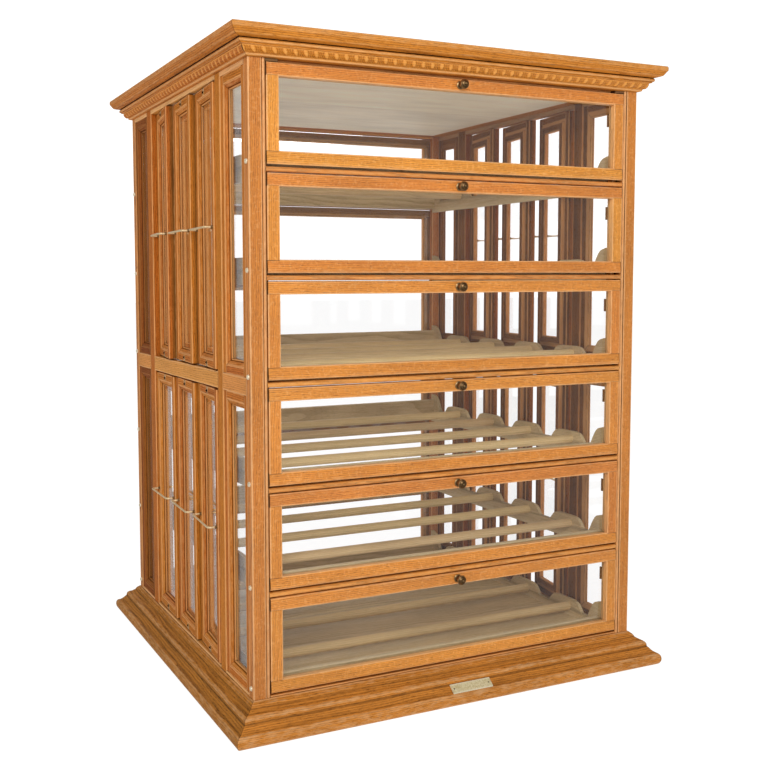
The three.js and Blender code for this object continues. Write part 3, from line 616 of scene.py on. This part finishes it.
# Cornice: a mitred ring, the egg-and-dart let into its lower round, and boards above and below
cornice = dict(
    overhang=36.5, ringIn=45.0, ceiling=8.0, lid=9.0, boards=4, behindCarving=1.5, spread=2.0,
    lowerLine=[[[0, 0], [0.055, 0.007], [0.13, 0.02], [0.165, 0.045], [0.168, 0.083]]],
    ovolo=[[0.168, 0.083], [0.235, 0.115], [0.30, 0.17], [0.352, 0.245], [0.385, 0.329]],
    upperLine=[
        [[0.392, 0.329], [0.48, 0.346], [0.48, 0.371]],
        [[0.48, 0.371], [0.548, 0.4], [0.575, 0.454], [0.548, 0.512], [0.51, 0.537]],
        [[0.51, 0.537], [0.603, 0.553], [0.72, 0.577], [0.822, 0.605]],
        [[0.822, 0.605], [0.862, 0.64], [0.905, 0.70], [0.945, 0.751], [0.973, 0.785]],
        [[0.973, 0.785], [1, 0.81]],
        [[1, 0.81], [1, 0.93]],
        [[1, 0.93], [0.985, 0.972], [0.952, 0.995], [0.918, 1]],
    ])
carving = dict(
    pitch=16.0, steps=20, depth=5.0, heel=0.5, ground=0.9, egg=2.2, eggHalf=0.27, eggPoint=0.55, eggAt=0.6,
    eggReach=0.46, shell=1.3, shellAt=1.42, shellHalf=0.16, dart=1.5, dartHalf=0.04, dartEnd=1.1, edge=9,
    worn=0.75, hollow=0.8)
corniceHeight = corniceTop - bodyTop
corniceScale = np.array([cornice["overhang"], corniceHeight])
ovoloCore = np.array([cornice["ovolo"][0], cornice["ovolo"][-1]]) * corniceScale
corniceLine = clean(np.concatenate([
    mouldingLine(cornice["lowerLine"], *corniceScale), ovoloCore - [cornice["behindCarving"], 0.0],
    mouldingLine(cornice["upperLine"], *corniceScale)]))
corniceBack = [[cornice["ringIn"], corniceHeight], [cornice["ringIn"], 0]]
corniceOutline = np.concatenate([corniceLine * [-1, 1], corniceBack])
horizontalRing(corniceOutline, bodyTop, corniceOak, "cornice_moulding", ["cornice_top"], spread=cornice["spread"])


def unitsIn(length):
    return round(length / carving["pitch"])


def eggAndDart(length):
    # Height over the ovolo, with s across one unit and v up it. The egg is half an ellipsoid, blunt above. A
    # groove runs round it, then a raised shell, then a second groove with a narrow dart standing in it.
    count = unitsIn(length)
    rows = len(carvedLine)
    shape = carving

    def relief(share, outline):
        s = (share * count + 0.5) % 1 - 0.5
        v = np.linspace(0, 1, rows)[None, :]
        point = shape["eggPoint"]
        narrow = shape["eggHalf"] * (point + (1 - point) * np.clip(v * 1.5, 0, 1))
        fromEgg = np.sqrt((s / narrow) ** 2 + ((v - shape["eggAt"]) / shape["eggReach"]) ** 2)
        egg = np.sqrt(np.clip(1 - fromEgg ** 2, 0, 1)) * shape["egg"]
        shell = np.exp(-((fromEgg - shape["shellAt"]) / shape["shellHalf"]) ** 2) * shape["shell"]
        dart = np.exp(-((np.abs(s) - 0.5) / shape["dartHalf"]) ** 2) * shape["dart"]
        height = np.maximum(np.maximum(egg, shell), dart * np.clip(shape["dartEnd"] - v, 0, 1))
        edge = np.clip(np.minimum(v, 1 - v) * shape["edge"], 0, 1)
        # the crest follows the relief: wear on eggs and shells, dirt and painted shade on the ground between them
        raised = (shape["worn"] * height - shape["hollow"]) * edge
        slope = np.gradient(outline[:rows], axis=0)
        normal = np.stack([-slope[:, 1], slope[:, 0]], -1) / np.hypot(*slope.T)[:, None]
        still = np.zeros((len(height), len(outline) - rows))
        lift = np.zeros((len(height), len(outline), 2))
        lift[:, :rows] = ((height - shape["ground"]) * edge)[..., None] * normal
        return lift, np.concatenate([raised, still], 1)
    return relief


carvedLine = spline(cornice["ovolo"], 4) * corniceScale * [-1, 1]
carvedHeel = carvedLine[[-1, 0]] + [[carving["depth"], 0], [carving["depth"], carving["heel"]]]
horizontalRing(np.concatenate([carvedLine, carvedHeel]), bodyTop, carvedOak, "cornice_carving", ["cornice_top"],
               fine=False, steps=lambda length: unitsIn(length) * carving["steps"], relief=eggAndDart)
# the ceiling boards are near white: painted light
boards("ceiling_boards", cornice["boards"], cornice["ringIn"], (bodyTop, bodyTop + cornice["ceiling"]),
       litCeilingWood, ["cornice_top"])
boards("lid_boards", cornice["boards"], cornice["ringIn"], (corniceTop - cornice["lid"], corniceTop - seam),
       oak, ["cornice_top"])
print("cornice done")

# Corner posts with their bead, the bead rails between the doors, and the strip over the top door. The posts on
# the right are painted darker than those on the left: painted shade where the light falls off to the right.
post = dict(face=21.0, side=19.0, thickness=18.3, quirk=0.7, bead=6.3, ease=1.5, stop=9.0, depth=30.0,
            stopFront=16.6, rightPaintedShade=-1.2)
rail = dict(height=7.6, setback=0.8, back=29.7, gap=3.6, sill=2.4, header=4.2, headerFront=12.0, headerBack=29.0,
            filler=20.0, fillerFront=1.0, ease=0.6)
postInner = halfWidth - post["face"] - post["bead"]


def postOutline():
    beadRadius = (post["bead"] - post["quirk"]) / 2
    beadStart, beadEnd = post["face"] + post["quirk"], post["face"] + post["bead"]
    stopEnd = beadEnd + post["stop"]
    return rounded([
        (0, 0, post["ease"]), (0, post["side"], 0), (post["thickness"], post["side"], 0),
        (post["thickness"], post["depth"], 0), (stopEnd, post["depth"], 0), (stopEnd, post["stopFront"], arris),
        (beadEnd, post["stopFront"], 0), (beadEnd, 0, beadRadius), (beadStart, 0, beadRadius),
        (beadStart, beadRadius, 0), (post["face"], beadRadius, 0), (post["face"], 0, arris)])


def endFrame(name, sign, node):
    # The two posts and the cross rails of the front or the back; sign -1 is the front
    deep = -sign * yAxis

    def across(section, low, start=-postInner, length=2 * postInner, cut="plain"):
        return member(section, np.array([start, sign * halfDepth, low]), xAxis, zAxis, deep, length, cut=cut)
    upright = [member(postOutline(), np.array([side * halfWidth, sign * halfDepth, baseTop]), zAxis, -side * xAxis,
                      deep, bodyTop - baseTop, cut="quarter", toneShift=tone)
               for side, tone in ((-1, 0), (1, post["rightPaintedShade"]))]
    addPiece(name + "_posts", upright, postOak, "case", [node])
    tops = [doorBottoms[tier] - rail["gap"] for tier in list(tiers)[:-1]]
    cross = []
    for low, high in [(top - rail["height"], top) for top in tops] + [(baseTop + seam, baseTop + rail["sill"])]:
        nose = (high - low) / 2
        section = block((0, 2 * nose), (rail["setback"], rail["back"]), (nose, nose, 0, 0))
        cross.append(across(section, low))
    headerLow = bodyTop - rail["header"]
    header = block((0, rail["header"]), (rail["headerFront"], rail["headerBack"]), (rail["ease"], 0, 0, 0))
    cross.append(across(header, headerLow))
    addPiece(name + "_rails", cross, oak, "case", [node])
    fillerEase = (rail["ease"], rail["ease"], 0, 0)
    filler = block((0, rail["header"]), (rail["fillerFront"], rail["headerFront"]), fillerEase)
    fillers = [across(filler, headerLow, start, rail["filler"], "rift")
               for start in (-postInner, postInner - rail["filler"])]
    addPiece(name + "_fillers", fillers, oldFillerOak, "case", [node])


endFrame("front", -1, "front_frame")
endFrame("back", 1, "back_frame")
print("corner posts done")

# Doors: rails run through, stiles stand between them, and a thin strip holds the pane
door = dict(
    thickness=16.0, stile=20.0, topRail=19.5, bottomRail=19.5, reveal=9.4, rebate=5.0, edge=2.2, step=0.45,
    stepAt=3.1, stepEase=0.2, sight=1.2, pivotRise=5.0, strip=3.1)
strip = dict(shoulder=0.55, crown=0.7, radii=(0.4, 0.8, 0.6))


def doorSections():
    back, reveal, rebate, sight = door["thickness"], door["reveal"], door["rebate"], door["sight"]

    def inner(width):
        return [(width, 0, sight), (width, reveal, 0), (width - rebate, reveal, 0), (width - rebate, back, 0)]
    top = rounded([(0, door["step"], door["edge"]), (door["stepAt"], door["step"], 0),
                   (door["stepAt"], 0, door["stepEase"]), *inner(door["topRail"]), (0, back, door["edge"])])
    stile = rounded([(0, 0, arris), *inner(door["stile"]), (0, back, arris)])
    half = back / 2
    reach = math.sqrt(half ** 2 - door["pivotRise"] ** 2)
    angle = np.linspace(0, math.acos(reach / half), 7)
    curve = np.stack([door["pivotRise"] - half * np.sin(angle), half - half * np.cos(angle)], -1)
    bottom = np.concatenate([curve, rounded([(0, back, arris), *inner(door["bottomRail"])[::-1]])])
    return bottom, top, stile, stile


def stripSection(width, thickness):
    # A glazing strip fills the rebate behind the pane and leans back from the sight line
    sight, shoulder, crown = strip["radii"]
    return rounded([(0, 0, 0), (width, 0, sight), (width, thickness * strip["shoulder"], shoulder),
                    (width * strip["crown"], thickness, crown), (0, thickness, 0)], 3)


def doorWood(low, frontY, deep):
    # A framed light like a door's, its lower left corner at low, facing away from deep
    origin = np.array([-doorHalf, frontY, low])
    axes = (xAxis, zAxis, deep)
    stileTrim = (door["bottomRail"] - door["sight"], door["topRail"] - door["sight"])
    lengths = surround(doorSections(), origin, axes, (2 * doorHalf, doorHeight), False, stileTrim=stileTrim,
                       cut="quarter", bareFrom=door["reveal"] + shellacEdge)
    inset = door["stile"] - door["rebate"]
    stripOrigin = origin + [inset, 0, door["bottomRail"] - door["rebate"]]
    stripOrigin = stripOrigin + deep * (door["thickness"] - door["strip"])
    stripSize = (2 * (doorHalf - inset), doorHeight - door["bottomRail"] - door["topRail"] + 2 * door["rebate"])
    outlines = [stripSection(door["rebate"], door["strip"])] * 4
    return lengths + surround(outlines, stripOrigin, axes, stripSize, True, bareFrom=-1)


catch = dict(x=(309.8, 312.8), fromTop=(33.0, 55.0), depth=4.0, radii=(0, 0, 1.0, 1.6))
# The knob's profile, [radius, height]: a rose, a waisted neck and head, a dished crown and a nub
knob = dict(
    rose=[[0, 0], [6.8, 0], [6.8, 0.9], [6.0, 1.6], [4.3, 2.2]],
    head=[[3.8, 3.0], [3.3, 4.8], [3.5, 6.8], [4.6, 8.6], [6.9, 10.4], [7.8, 12.2], [7.5, 14.2], [6.4, 15.6]],
    crown=[[6.0, 15.5], [4.4, 16.9], [2.9, 17.6], [2.5, 17.5]],
    nub=[[1.9, 17.7], [1.6, 18.6], [0.8, 18.95], [0, 19.0]])
knobProfile = np.concatenate([knob["rose"], *(spline(knob[part]) for part in ("head", "crown", "nub"))])
catchSection = block((0, catch["x"][1] - catch["x"][0]), (0, catch["depth"]), catch["radii"], 4)
for tier in tiers:
    low, high = doorBoxes[tier]
    name = f"door_{tier}"
    addPiece(name + "_wood", doorWood(low[2], -halfDepth, yAxis), quarteredOak, name, [name + "_frame"])
    knobLow, knobHigh = boxOf(name + "_knob")
    turnedKnob = turned(knobProfile, np.array([0, -halfDepth, (knobLow[2] + knobHigh[2]) / 2]), -yAxis, xAxis)
    addPiece(name + "_turned_knob", [turnedKnob], bronze, name, [name + "_knob"])
    first, last = catch["fromTop"]
    corner = np.array([catch["x"][0], door["thickness"] - halfDepth, high[2] - last])
    peg = member(catchSection, corner, zAxis, xAxis, yAxis, last - first)
    addPiece(name + "_catch", [peg], oldFillerOak, name, [name + "_frame"])

backLights = [length for tier in tiers for length in doorWood(doorBottoms[tier], halfDepth, -yAxis)]
addPiece("back_lights", backLights, oak, "case", ["back_frame"])
print("doors done")

# Side frames, fixed lights and turning sashes
side = dict(thickness=18.0, start=19.3, frontPane=105.2, rearPane=90.7, frontMullion=24.0, rearMullion=28.5,
            midLow=517.0, midHeight=27.0, sill=4.0, topRail=7.5, recess=1.5, ease=0.9, lightEase=0.2)
sash = dict(flat=13.5, flatEase=0.4, stile=23.0, thickness=15.0, quirk=1.6, lip=6.0, reveal=8.0, rebate=5.0,
            ease=0.8, recess=2.0, strip=3.5, listel=8.0, listelGap=0.2, endGap=1.5, gap=5.0, rise=3.0,
            ovolo=[[0.1, 0.0], [0.3, 0.06], [0.5, 0.24], [0.66, 0.5], [0.72, 0.82]], lipAt=0.76)
batten = dict(width=14.0, front=11.4, back=19.0, radii=(0, 1.2, 1.8, 0.6))
upperBand = (side["midLow"] + side["midHeight"], bodyTop - side["topRail"])
lowerBand = (baseTop + side["sill"], side["midLow"])
zone = (side["start"] + side["frontPane"], 2 * halfDepth - side["start"] - side["rearPane"])


def mouldingOutline():
    # The sash's inner moulding: a quirk beside the flat, an ovolo, and a lip at the glass
    flat, stile, lip, back = sash["flat"], sash["stile"], sash["lip"], sash["thickness"]
    width, rebate = stile - flat, stile - sash["rebate"]
    ovolo = spline(sash["ovolo"], 3) * [width, lip - sash["quirk"]] + [flat, sash["quirk"]]
    foot = [[flat + sash["lipAt"] * width, lip - 0.1], [stile - 0.3, lip], [stile, lip + 0.3],
            [stile, sash["reveal"]], [rebate, sash["reveal"]], [rebate, back], [flat, back], [flat, sash["quirk"]]]
    return clean(np.concatenate([ovolo, foot]))


def lightWood(origin, deep, width, height, ease, turns=False, listel=0.0):
    # Stiles run through with rails between them, the moulding is mitred inside, and a strip holds the pane.
    # In a sash that turns, a deep batten takes the place of the strip; a listel may widen the rear one.
    flat, back = sash["flat"], sash["thickness"]
    axes, size = (yAxis, zAxis, deep), (width, height)
    bareFrom = sash["reveal"] + 2 * shellacEdge
    section = block((0, flat), (0, back), (ease, sash["flatEase"], 0, ease), 3)
    lengths = surround([section] * 4, origin, axes, size, False, railTrim=(flat, flat), bareFrom=bareFrom)
    lengths += surround([mouldingOutline()] * 4, origin, axes, size, True, bareFrom=bareFrom)
    inset = sash["stile"] - sash["rebate"]
    inner = (width - 2 * inset, height - 2 * inset)
    if not turns:
        thin = stripSection(sash["rebate"], sash["strip"])
        place = origin + inset * (yAxis + zAxis) + deep * (back - sash["strip"] - 0.1)
        return lengths + surround([thin] * 4, place, axes, inner, True, bareFrom=-1)
    proud = (0, batten["back"] - batten["front"])
    bareFrom = proud[1] - shellacEdge
    start = origin + batten["front"] * deep
    if listel:
        section = block((0, listel), proud, batten["radii"], 3)
        rise = inset + batten["width"] + sash["listelGap"]
        corner = start + (width - rise) * yAxis + rise * zAxis
        lengths.append(member(section, corner, zAxis, -yAxis, deep, height - 2 * rise, bareFrom=bareFrom))
    section = block((0, batten["width"]), proud, batten["radii"], 3)
    return lengths + surround([section] * 4, start + inset * (yAxis + zAxis), axes, inner, True, bareFrom=bareFrom)


def sideWood(name, sign):
    deep = -sign * xAxis
    face = np.array([sign * halfWidth, -halfDepth, 0])
    ease = side["ease"]
    frontMullion = (zone[0], zone[0] + side["frontMullion"])
    rearMullion = (zone[1] - side["rearMullion"], zone[1])
    bays = [(side["start"], frontMullion[0]), (frontMullion[1], rearMullion[0]),
            (rearMullion[1], 2 * halfDepth - side["start"])]

    def plain(width, start, low, along, inward, length):
        section = block((0, width), (0, side["thickness"]), (ease, ease, 0, 0))
        corner = face + start * yAxis + low * zAxis
        return member(section, corner, along, inward, deep, length, bareFrom=side["thickness"] - shellacEdge)
    mullions = [plain(end - start, start, baseTop, zAxis, yAxis, bodyTop - baseTop)
                for start, end in (frontMullion, rearMullion)]
    levels = ((baseTop + seam, lowerBand[0]), (lowerBand[1], upperBand[0]), (upperBand[1], bodyTop))
    rails = [plain(high - low, start, low, yAxis, zAxis, end - start)
             for low, high in levels for start, end in bays]
    front, rear = (
        [length for low, high in (lowerBand, upperBand) for length in lightWood(
            face + start * yAxis + low * zAxis + side["recess"] * deep, deep, end - start, high - low,
            side["lightEase"])]
        for start, end in (bays[0], bays[2]))
    # the rear lights take the darker oak: painted shade towards the rear
    for part, lengths, material in (("_side_rails", rails, railOak), ("_front_lights", mullions + front, sideOak),
                                    ("_rear_lights", rear, shadedRearOak)):
        addPiece(name + part, lengths, material, "case", [name + "_side_frame"])


bail = dict(radius=1.7, proud=14.9, inset=8.0, bend=5.0, root=4.0)
eye = dict(radius=3.4, collar=2.5, sunk=0.2, edge=0.5, shoulder=1.4, neck=3.2, height=3.8, ease=0.5, sides=18)
sashPin = dict(width=12.0, plateRise=12.5, thickness=0.35, hole=2.9, holeRise=7.0, hook=1.2, slot=2.6, height=2.5,
               sides=14)
sashTurns = dict(
    left_upper=(8.0, 4.3, 4.8), left_lower=(1.0, 2.5, 4.0), right_upper=(-10.0, -9.0, -10.0),
    right_lower=(-10.0, -9.0, -10.0))
eyeProfile = [
    [0, -eye["sunk"]], [eye["radius"], -eye["sunk"]], [eye["radius"], eye["edge"]],
    [eye["collar"], eye["shoulder"]], [eye["collar"], eye["neck"]],
    [eye["collar"] - eye["ease"], eye["height"]], [0, eye["height"]]]
pegProfile = [
    [0, 0], [sashPin["hole"], 0], [sashPin["hole"], 0.8], [sashPin["hook"], 1.2], [sashPin["hook"], 2.2],
    [0, sashPin["height"]]]
plateOutline = block((0.3, sashPin["plateRise"]), (0, sashPin["thickness"]), (0.4, 1.5, 0, 0), 3)
slotShadeOutline = block((0.2, sashPin["slot"]), (0, 0.7), (0, 0.3, 0.3, 0), 2)
rearOfSashes = zone[1] - side["rearMullion"]
sashWidth = (rearOfSashes - zone[0] - side["frontMullion"] - 2 * sash["endGap"] - 2 * sash["gap"]) / 3


def bailPath(origin, deep):
    # A staple of wire: out from one stile, round a bend, across the sash, and back into the other
    foot, proud, bend = bail["inset"], bail["proud"], bail["bend"]
    angle = np.linspace(0, math.pi / 2, 8)
    bent = np.stack([foot + bend - bend * np.cos(angle), -(proud - bend) - bend * np.sin(angle)], -1)
    near = np.concatenate([[[foot, bail["root"]], [foot, 0]], bent])
    plan = np.concatenate([near, (near * [-1, 1] + [sashWidth, 0])[::-1]])
    return origin + plan[:, :1] * yAxis + plan[:, 1:] * deep


def turningSash(name, sign, place, turn, low, high):
    # A sash with its bail, and at top and bottom the pivot's plate let into its face with a peg in the hole
    deep = -sign * xAxis
    height = high - low - 2 * sash["rise"]
    centre = rearOfSashes - sash["endGap"] - sashWidth / 2 - (place - 1) * (sashWidth + sash["gap"]) - halfDepth
    pivot = np.array([sign * (halfWidth - sash["recess"] - sash["thickness"] / 2), centre, 0])
    origin = pivot + np.array([0, -sashWidth / 2, low + sash["rise"]]) - deep * sash["thickness"] / 2
    middle = origin + height / 2 * zAxis
    foot = origin + sashWidth / 2 * yAxis
    ends = ((foot + height * zAxis, -zAxis), (foot, zAxis))
    listel = sash["listel"] if sign < 0 else 0.0
    wood = lightWood(origin, deep, sashWidth, height, sash["ease"], True, listel)
    metal = [wire(bailPath(middle, deep), bail["radius"], zAxis)]
    eyes = [turned(eyeProfile, middle + inset * yAxis, -deep, yAxis, eye["sides"])
            for inset in (bail["inset"], sashWidth - bail["inset"])]
    half, thin = sashPin["width"] / 2, sashPin["thickness"]
    plates = [member(plateOutline, end - half * yAxis - deep * (thin - 0.05), yAxis, way, deep, 2 * half,
                     fine=False) for end, way in ends]
    pegs = [turned(pegProfile, end + sashPin["holeRise"] * way, -deep, yAxis, sashPin["sides"])
            for end, way in ends]
    # each plate's slot is a dark iron strip standing in its face: painted shade where the slot lies
    pegs += [member(slotShadeOutline, end - (sashPin["slot"] / 2 + 0.2) * yAxis - deep * 0.6, way, yAxis, deep,
                    sashPin["holeRise"], fine=False) for end, way in ends]
    for part, lengths, material, slot in (
            ("_wood", wood, sideOak, "oak"), ("_bail", metal, brass, "brass"),
            ("_bail_eyes", eyes, bronze, "knob_bronze"),
            ("_pivot_plates", plates, wornOak, "oak"), ("_pivot_pegs_and_slot_shade", pegs, iron, "knob_bronze")):
        addPiece(name + part, turnAbout(lengths, pivot, sign * turn), material, name, [name + "_frame"])


for group, turns in sashTurns.items():
    for place, turn in enumerate(turns, 1):
        turningSash(f"{group}_sash_{place}", -1 if group.startswith("left") else 1, place, turn,
                    *(upperBand if "upper" in group else lowerBand))
for name, sign in (("left", -1), ("right", 1)):
    sideWood(name, sign)
print("sides done")

# Racks: notched boards, dowels from board to board, and a ledge across each end
rack = dict(inset=30.0, thickness=7.0, count=4, lead=93.0, pitch=130.0, rod=8.0, rodSides=26, rise=11.0,
            hollow=4.0, tooth=14.0, toothLead=12.0, toothTail=33.0, toothRun=26.5, endRise=44.0,
            endFlat=3.0, endRun=35.0, drop=18.0, ledge=10.0, frontLedge=17.5, rearLedge=33.0, ledgeDrop=11.0,
            ledgeRadii=(1.0, 2.0, 2.0, 1.0), shoulder=(0.5, 0.2), reach=300.0, tenon=3.0, clear=0.1)
rods = [rack["lead"] - rack["reach"] + place * rack["pitch"] for place in range(rack["count"])]
rackInner = halfWidth - rack["inset"] - rack["thickness"]


def rackOutline(bottom):
    # The board's edge from front to rear: raised ends, and a flat tooth over each rod between round shoulders
    hollow = bottom + rack["rise"] - rack["hollow"]
    reach = rack["reach"]
    endTop = bottom + rack["endRise"]
    endFlat = [reach - rack["endFlat"], reach, endTop, rack["endRun"]]
    flats = [[-endFlat[1], -endFlat[0], *endFlat[2:]]]
    flats += [[rod - rack["toothLead"], rod + rack["toothTail"], bottom + rack["rise"] + rack["tooth"],
               rack["toothRun"]] for rod in rods]
    along, down = rack["shoulder"]
    line = [[[-reach, endTop]]]
    for front, rear, top, run in [*flats, endFlat]:
        shoulder = top - (top - hollow) * down
        if front > -reach:
            line.append(spline([[front - run, hollow], [front - run * along, shoulder], [front, top]], 4))
        if rear < reach:
            line.append(spline([[rear, top], [rear + run * along, shoulder], [rear + run, hollow]], 4))
    low = max(bottom - rack["drop"], baseTop + rack["clear"])
    return clean(np.concatenate([*line, [[reach, endTop], [reach, low], [-reach, low]]]))


def rackPieces(name, bottom):
    start, across = -rackInner - rack["tenon"], 2 * rackInner + 2 * rack["tenon"]
    sideBoards = [member(rackOutline(bottom), np.array([x, 0, 0]), xAxis, yAxis, zAxis, rack["thickness"],
                         grain=(1, 0, 2), cut="plain", fine=False, jointed=False)
                  for x in (-rackInner - rack["thickness"], rackInner)]
    angle = np.linspace(0, 2 * math.pi, rack["rodSides"], endpoint=False)
    circle = rack["rod"] * np.stack([np.cos(angle), np.sin(angle)], -1)
    dowels = [member(circle, np.array([start, rod, bottom + rack["rise"]]), xAxis, yAxis, zAxis, across, fine=False)
              for rod in rods]
    low = max(bottom - rack["ledgeDrop"], baseTop + rack["clear"])
    ledges = []
    for sign, rise in ((-1, rack["frontLedge"]), (1, rack["rearLedge"])):
        section = block((0, bottom + rise - low), (0, rack["ledge"]), rack["ledgeRadii"], 3)
        corner = np.array([start, sign * rack["reach"], low])
        ledges.append(member(section, corner, xAxis, zAxis, -sign * yAxis, across, cut="plain"))
    for part, lengths, material in (("notched_boards", sideBoards, rackBoardOak), ("dowels", dowels, dowelWood),
                                    ("ledges", ledges, bareOak)):
        addPiece(f"{name}_{part}", lengths, material, "case", [name + "_rack"])


for tier in tiers:
    rackPieces(f"tier_{tier}", doorBottoms[tier])
print("racks done")

# Screws in the side faces of the four posts: round heads, slotted
screw = dict(radius=4.1, rise=3.2, slot=0.35, fromEdge=9.0, heights=(808.0, 649.0, 491.0, 330.0, 172.0, 16.0),
             climb=6, arc=13, discSides=20, discEdge=0.5, discTop=0.9)


def slottedHead(origin, axis, sideways, turn):
    # Each half of the head: place = sideways max(slot, r cos a) + other r sin a + axis h, closed along the slot
    other = np.cross(axis, sideways)
    first = math.cos(turn) * sideways + math.sin(turn) * other
    second = np.cross(axis, first)
    climb = np.linspace(0, math.pi / 2, screw["climb"])
    radius = np.append(screw["radius"], screw["radius"] * np.cos(climb))[:, None]
    height = np.append(-seam, screw["rise"] * np.sin(climb))[:, None, None]
    angle = np.linspace(-math.pi / 2, math.pi / 2, screw["arc"])
    x = np.maximum(screw["slot"], radius * np.cos(angle))
    y = radius * np.sin(angle)
    index = np.arange(x.size).reshape(x.shape)
    quads = np.stack([index[:-1, :-1], index[:-1, 1:], index[1:, 1:], index[1:, :-1]], -1).reshape(-1, 4)
    cut = index[:, 0].tolist() + index[::-1, -1].tolist()
    faces = quads.tolist() + [cut, index[0, ::-1].tolist()]
    halves = []
    for flip in (1, -1):
        place = origin + flip * (x[..., None] * first + y[..., None] * second) + height * axis
        place = place.reshape(-1, 3)
        halves.append(unjointed(place, faces, place - origin, np.zeros(len(place))))
    discProfile = [[0, -seam], [screw["radius"], -seam], [screw["radius"], screw["discEdge"]],
                   [0, screw["discTop"]]]
    return [*halves, turned(discProfile, origin, axis, sideways, screw["discSides"])]


screws = []
for sign in (-1, 1):
    for end in (-1, 1):
        for height in screw["heights"]:
            at = np.array([sign * halfWidth, end * (halfDepth - screw["fromEdge"]), baseTop + height])
            screws += slottedHead(at, sign * xAxis, yAxis, woodDraws.uniform(0, math.pi))
addPiece("post_screws", screws, screwBrass, "case")
print("screws done")

# Camera where the photograph was taken
view = dict(place=(-0.898, -1.755, 0.6895), yaw=25.11, pitch=-4.37, roll=0.23, lens=48.45, sensor=36,
            shift=(0.0700, -0.0327), farthest=100)
camera = bpy.data.objects.new("camera", bpy.data.cameras.new("camera"))
camera.data.lens = view["lens"]
camera.data.sensor_width = view["sensor"]
camera.data.shift_x, camera.data.shift_y = view["shift"]
camera.data.clip_end = view["farthest"]
camera.matrix_world = Matrix.Translation(view["place"])
for axis, degrees in (("Z", -view["yaw"]), ("X", 90 + view["pitch"]), ("Z", -view["roll"])):
    camera.matrix_world = camera.matrix_world @ Matrix.Rotation(math.radians(degrees), 4, axis)
bpy.context.scene.collection.objects.link(camera)
bpy.context.scene.camera = camera

# Soft studio light: a large lamp high in front, a weaker one on the left, one behind
lamps = [
    dict(name="key", place=(-1.0, -2.2, 1.75), aim=(-0.3, -0.3, 0.7), size=1.2, watts=30),
    dict(name="fill", place=(-3.4, -1.6, 1.5), aim=(0, 0, 0.5), size=2.2, watts=10),
    dict(name="rim", place=(0.6, 3.2, 2.4), aim=(0, 0, 0.5), size=2.2, watts=26),
]
for lamp in lamps:
    data = bpy.data.lights.new(lamp["name"], "AREA")
    data.size = lamp["size"]
    data.energy = lamp["watts"]
    source = bpy.data.objects.new(lamp["name"], data)
    aim = Vector(lamp["aim"]) - Vector(lamp["place"])
    source.matrix_world = Matrix.Translation(lamp["place"]) @ aim.to_track_quat("-Z", "Y").to_matrix().to_4x4()
    bpy.context.scene.collection.objects.link(source)

# A white room: full white for the camera and through glass, less for the light it sheds, least in reflections.
# The floor is pale paper that glows, a little less of it where the camera looks on.
room = dict(shed=0.52, seen=1.2, mirrored=0.24, floor=1.18, paper="#E8E8E8", glowShare=(0.92, 0.8), reach=30.0)


def levels(tree, shed, seenLevel):
    # Whether the camera looks on, straight or through glass, and how bright a surface is for each kind of ray
    rays = add(tree, "LightPath").outputs
    seen = add(tree, "Math", [rays["Is Camera Ray"], rays["Is Transmission Ray"]], operation="MAXIMUM")
    level = add(tree, "Mix", {0: rays["Is Glossy Ray"], 2: shed, 3: room["mirrored"]})
    return seen, add(tree, "Mix", {0: seen, 2: level, 3: seenLevel})


white = toLinear("#FFFFFF")
world = bpy.data.worlds.new("whiteRoom")
bpy.context.scene.world = world
world.use_nodes = True
tree = world.node_tree
tree.nodes.clear()
seen, strength = levels(tree, room["shed"], room["seen"])
background = add(tree, "Background", {"Color": white, "Strength": strength})
add(tree, "OutputWorld", {"Surface": background})

floorMaterial, tree = newMaterial("palePaper")
seen, strength = levels(tree, room["floor"], room["floor"])
paper = add(tree, "BsdfDiffuse", {"Color": toLinear(room["paper"])})
glow = add(tree, "Emission", {"Color": white, "Strength": strength})
mostly = add(tree, "Mix", {0: seen, 2: room["glowShare"][0], 3: room["glowShare"][1]})
add(tree, "OutputMaterial", {"Surface": add(tree, "MixShader", [mostly, paper, glow])})
floorMesh = bpy.data.meshes.new("floor")
corners = [(x * room["reach"], y * room["reach"], 0) for x, y in ((-1, -1), (1, -1), (1, 1), (-1, 1))]
floorMesh.from_pydata(corners, [], [(0, 1, 2, 3)])
floorMesh.materials.append(floorMaterial)
floor = bpy.data.objects.new("floor", floorMesh)
bpy.context.scene.collection.objects.link(floor)

bpy.context.scene.view_settings.view_transform = "Standard"
print("scene ready")
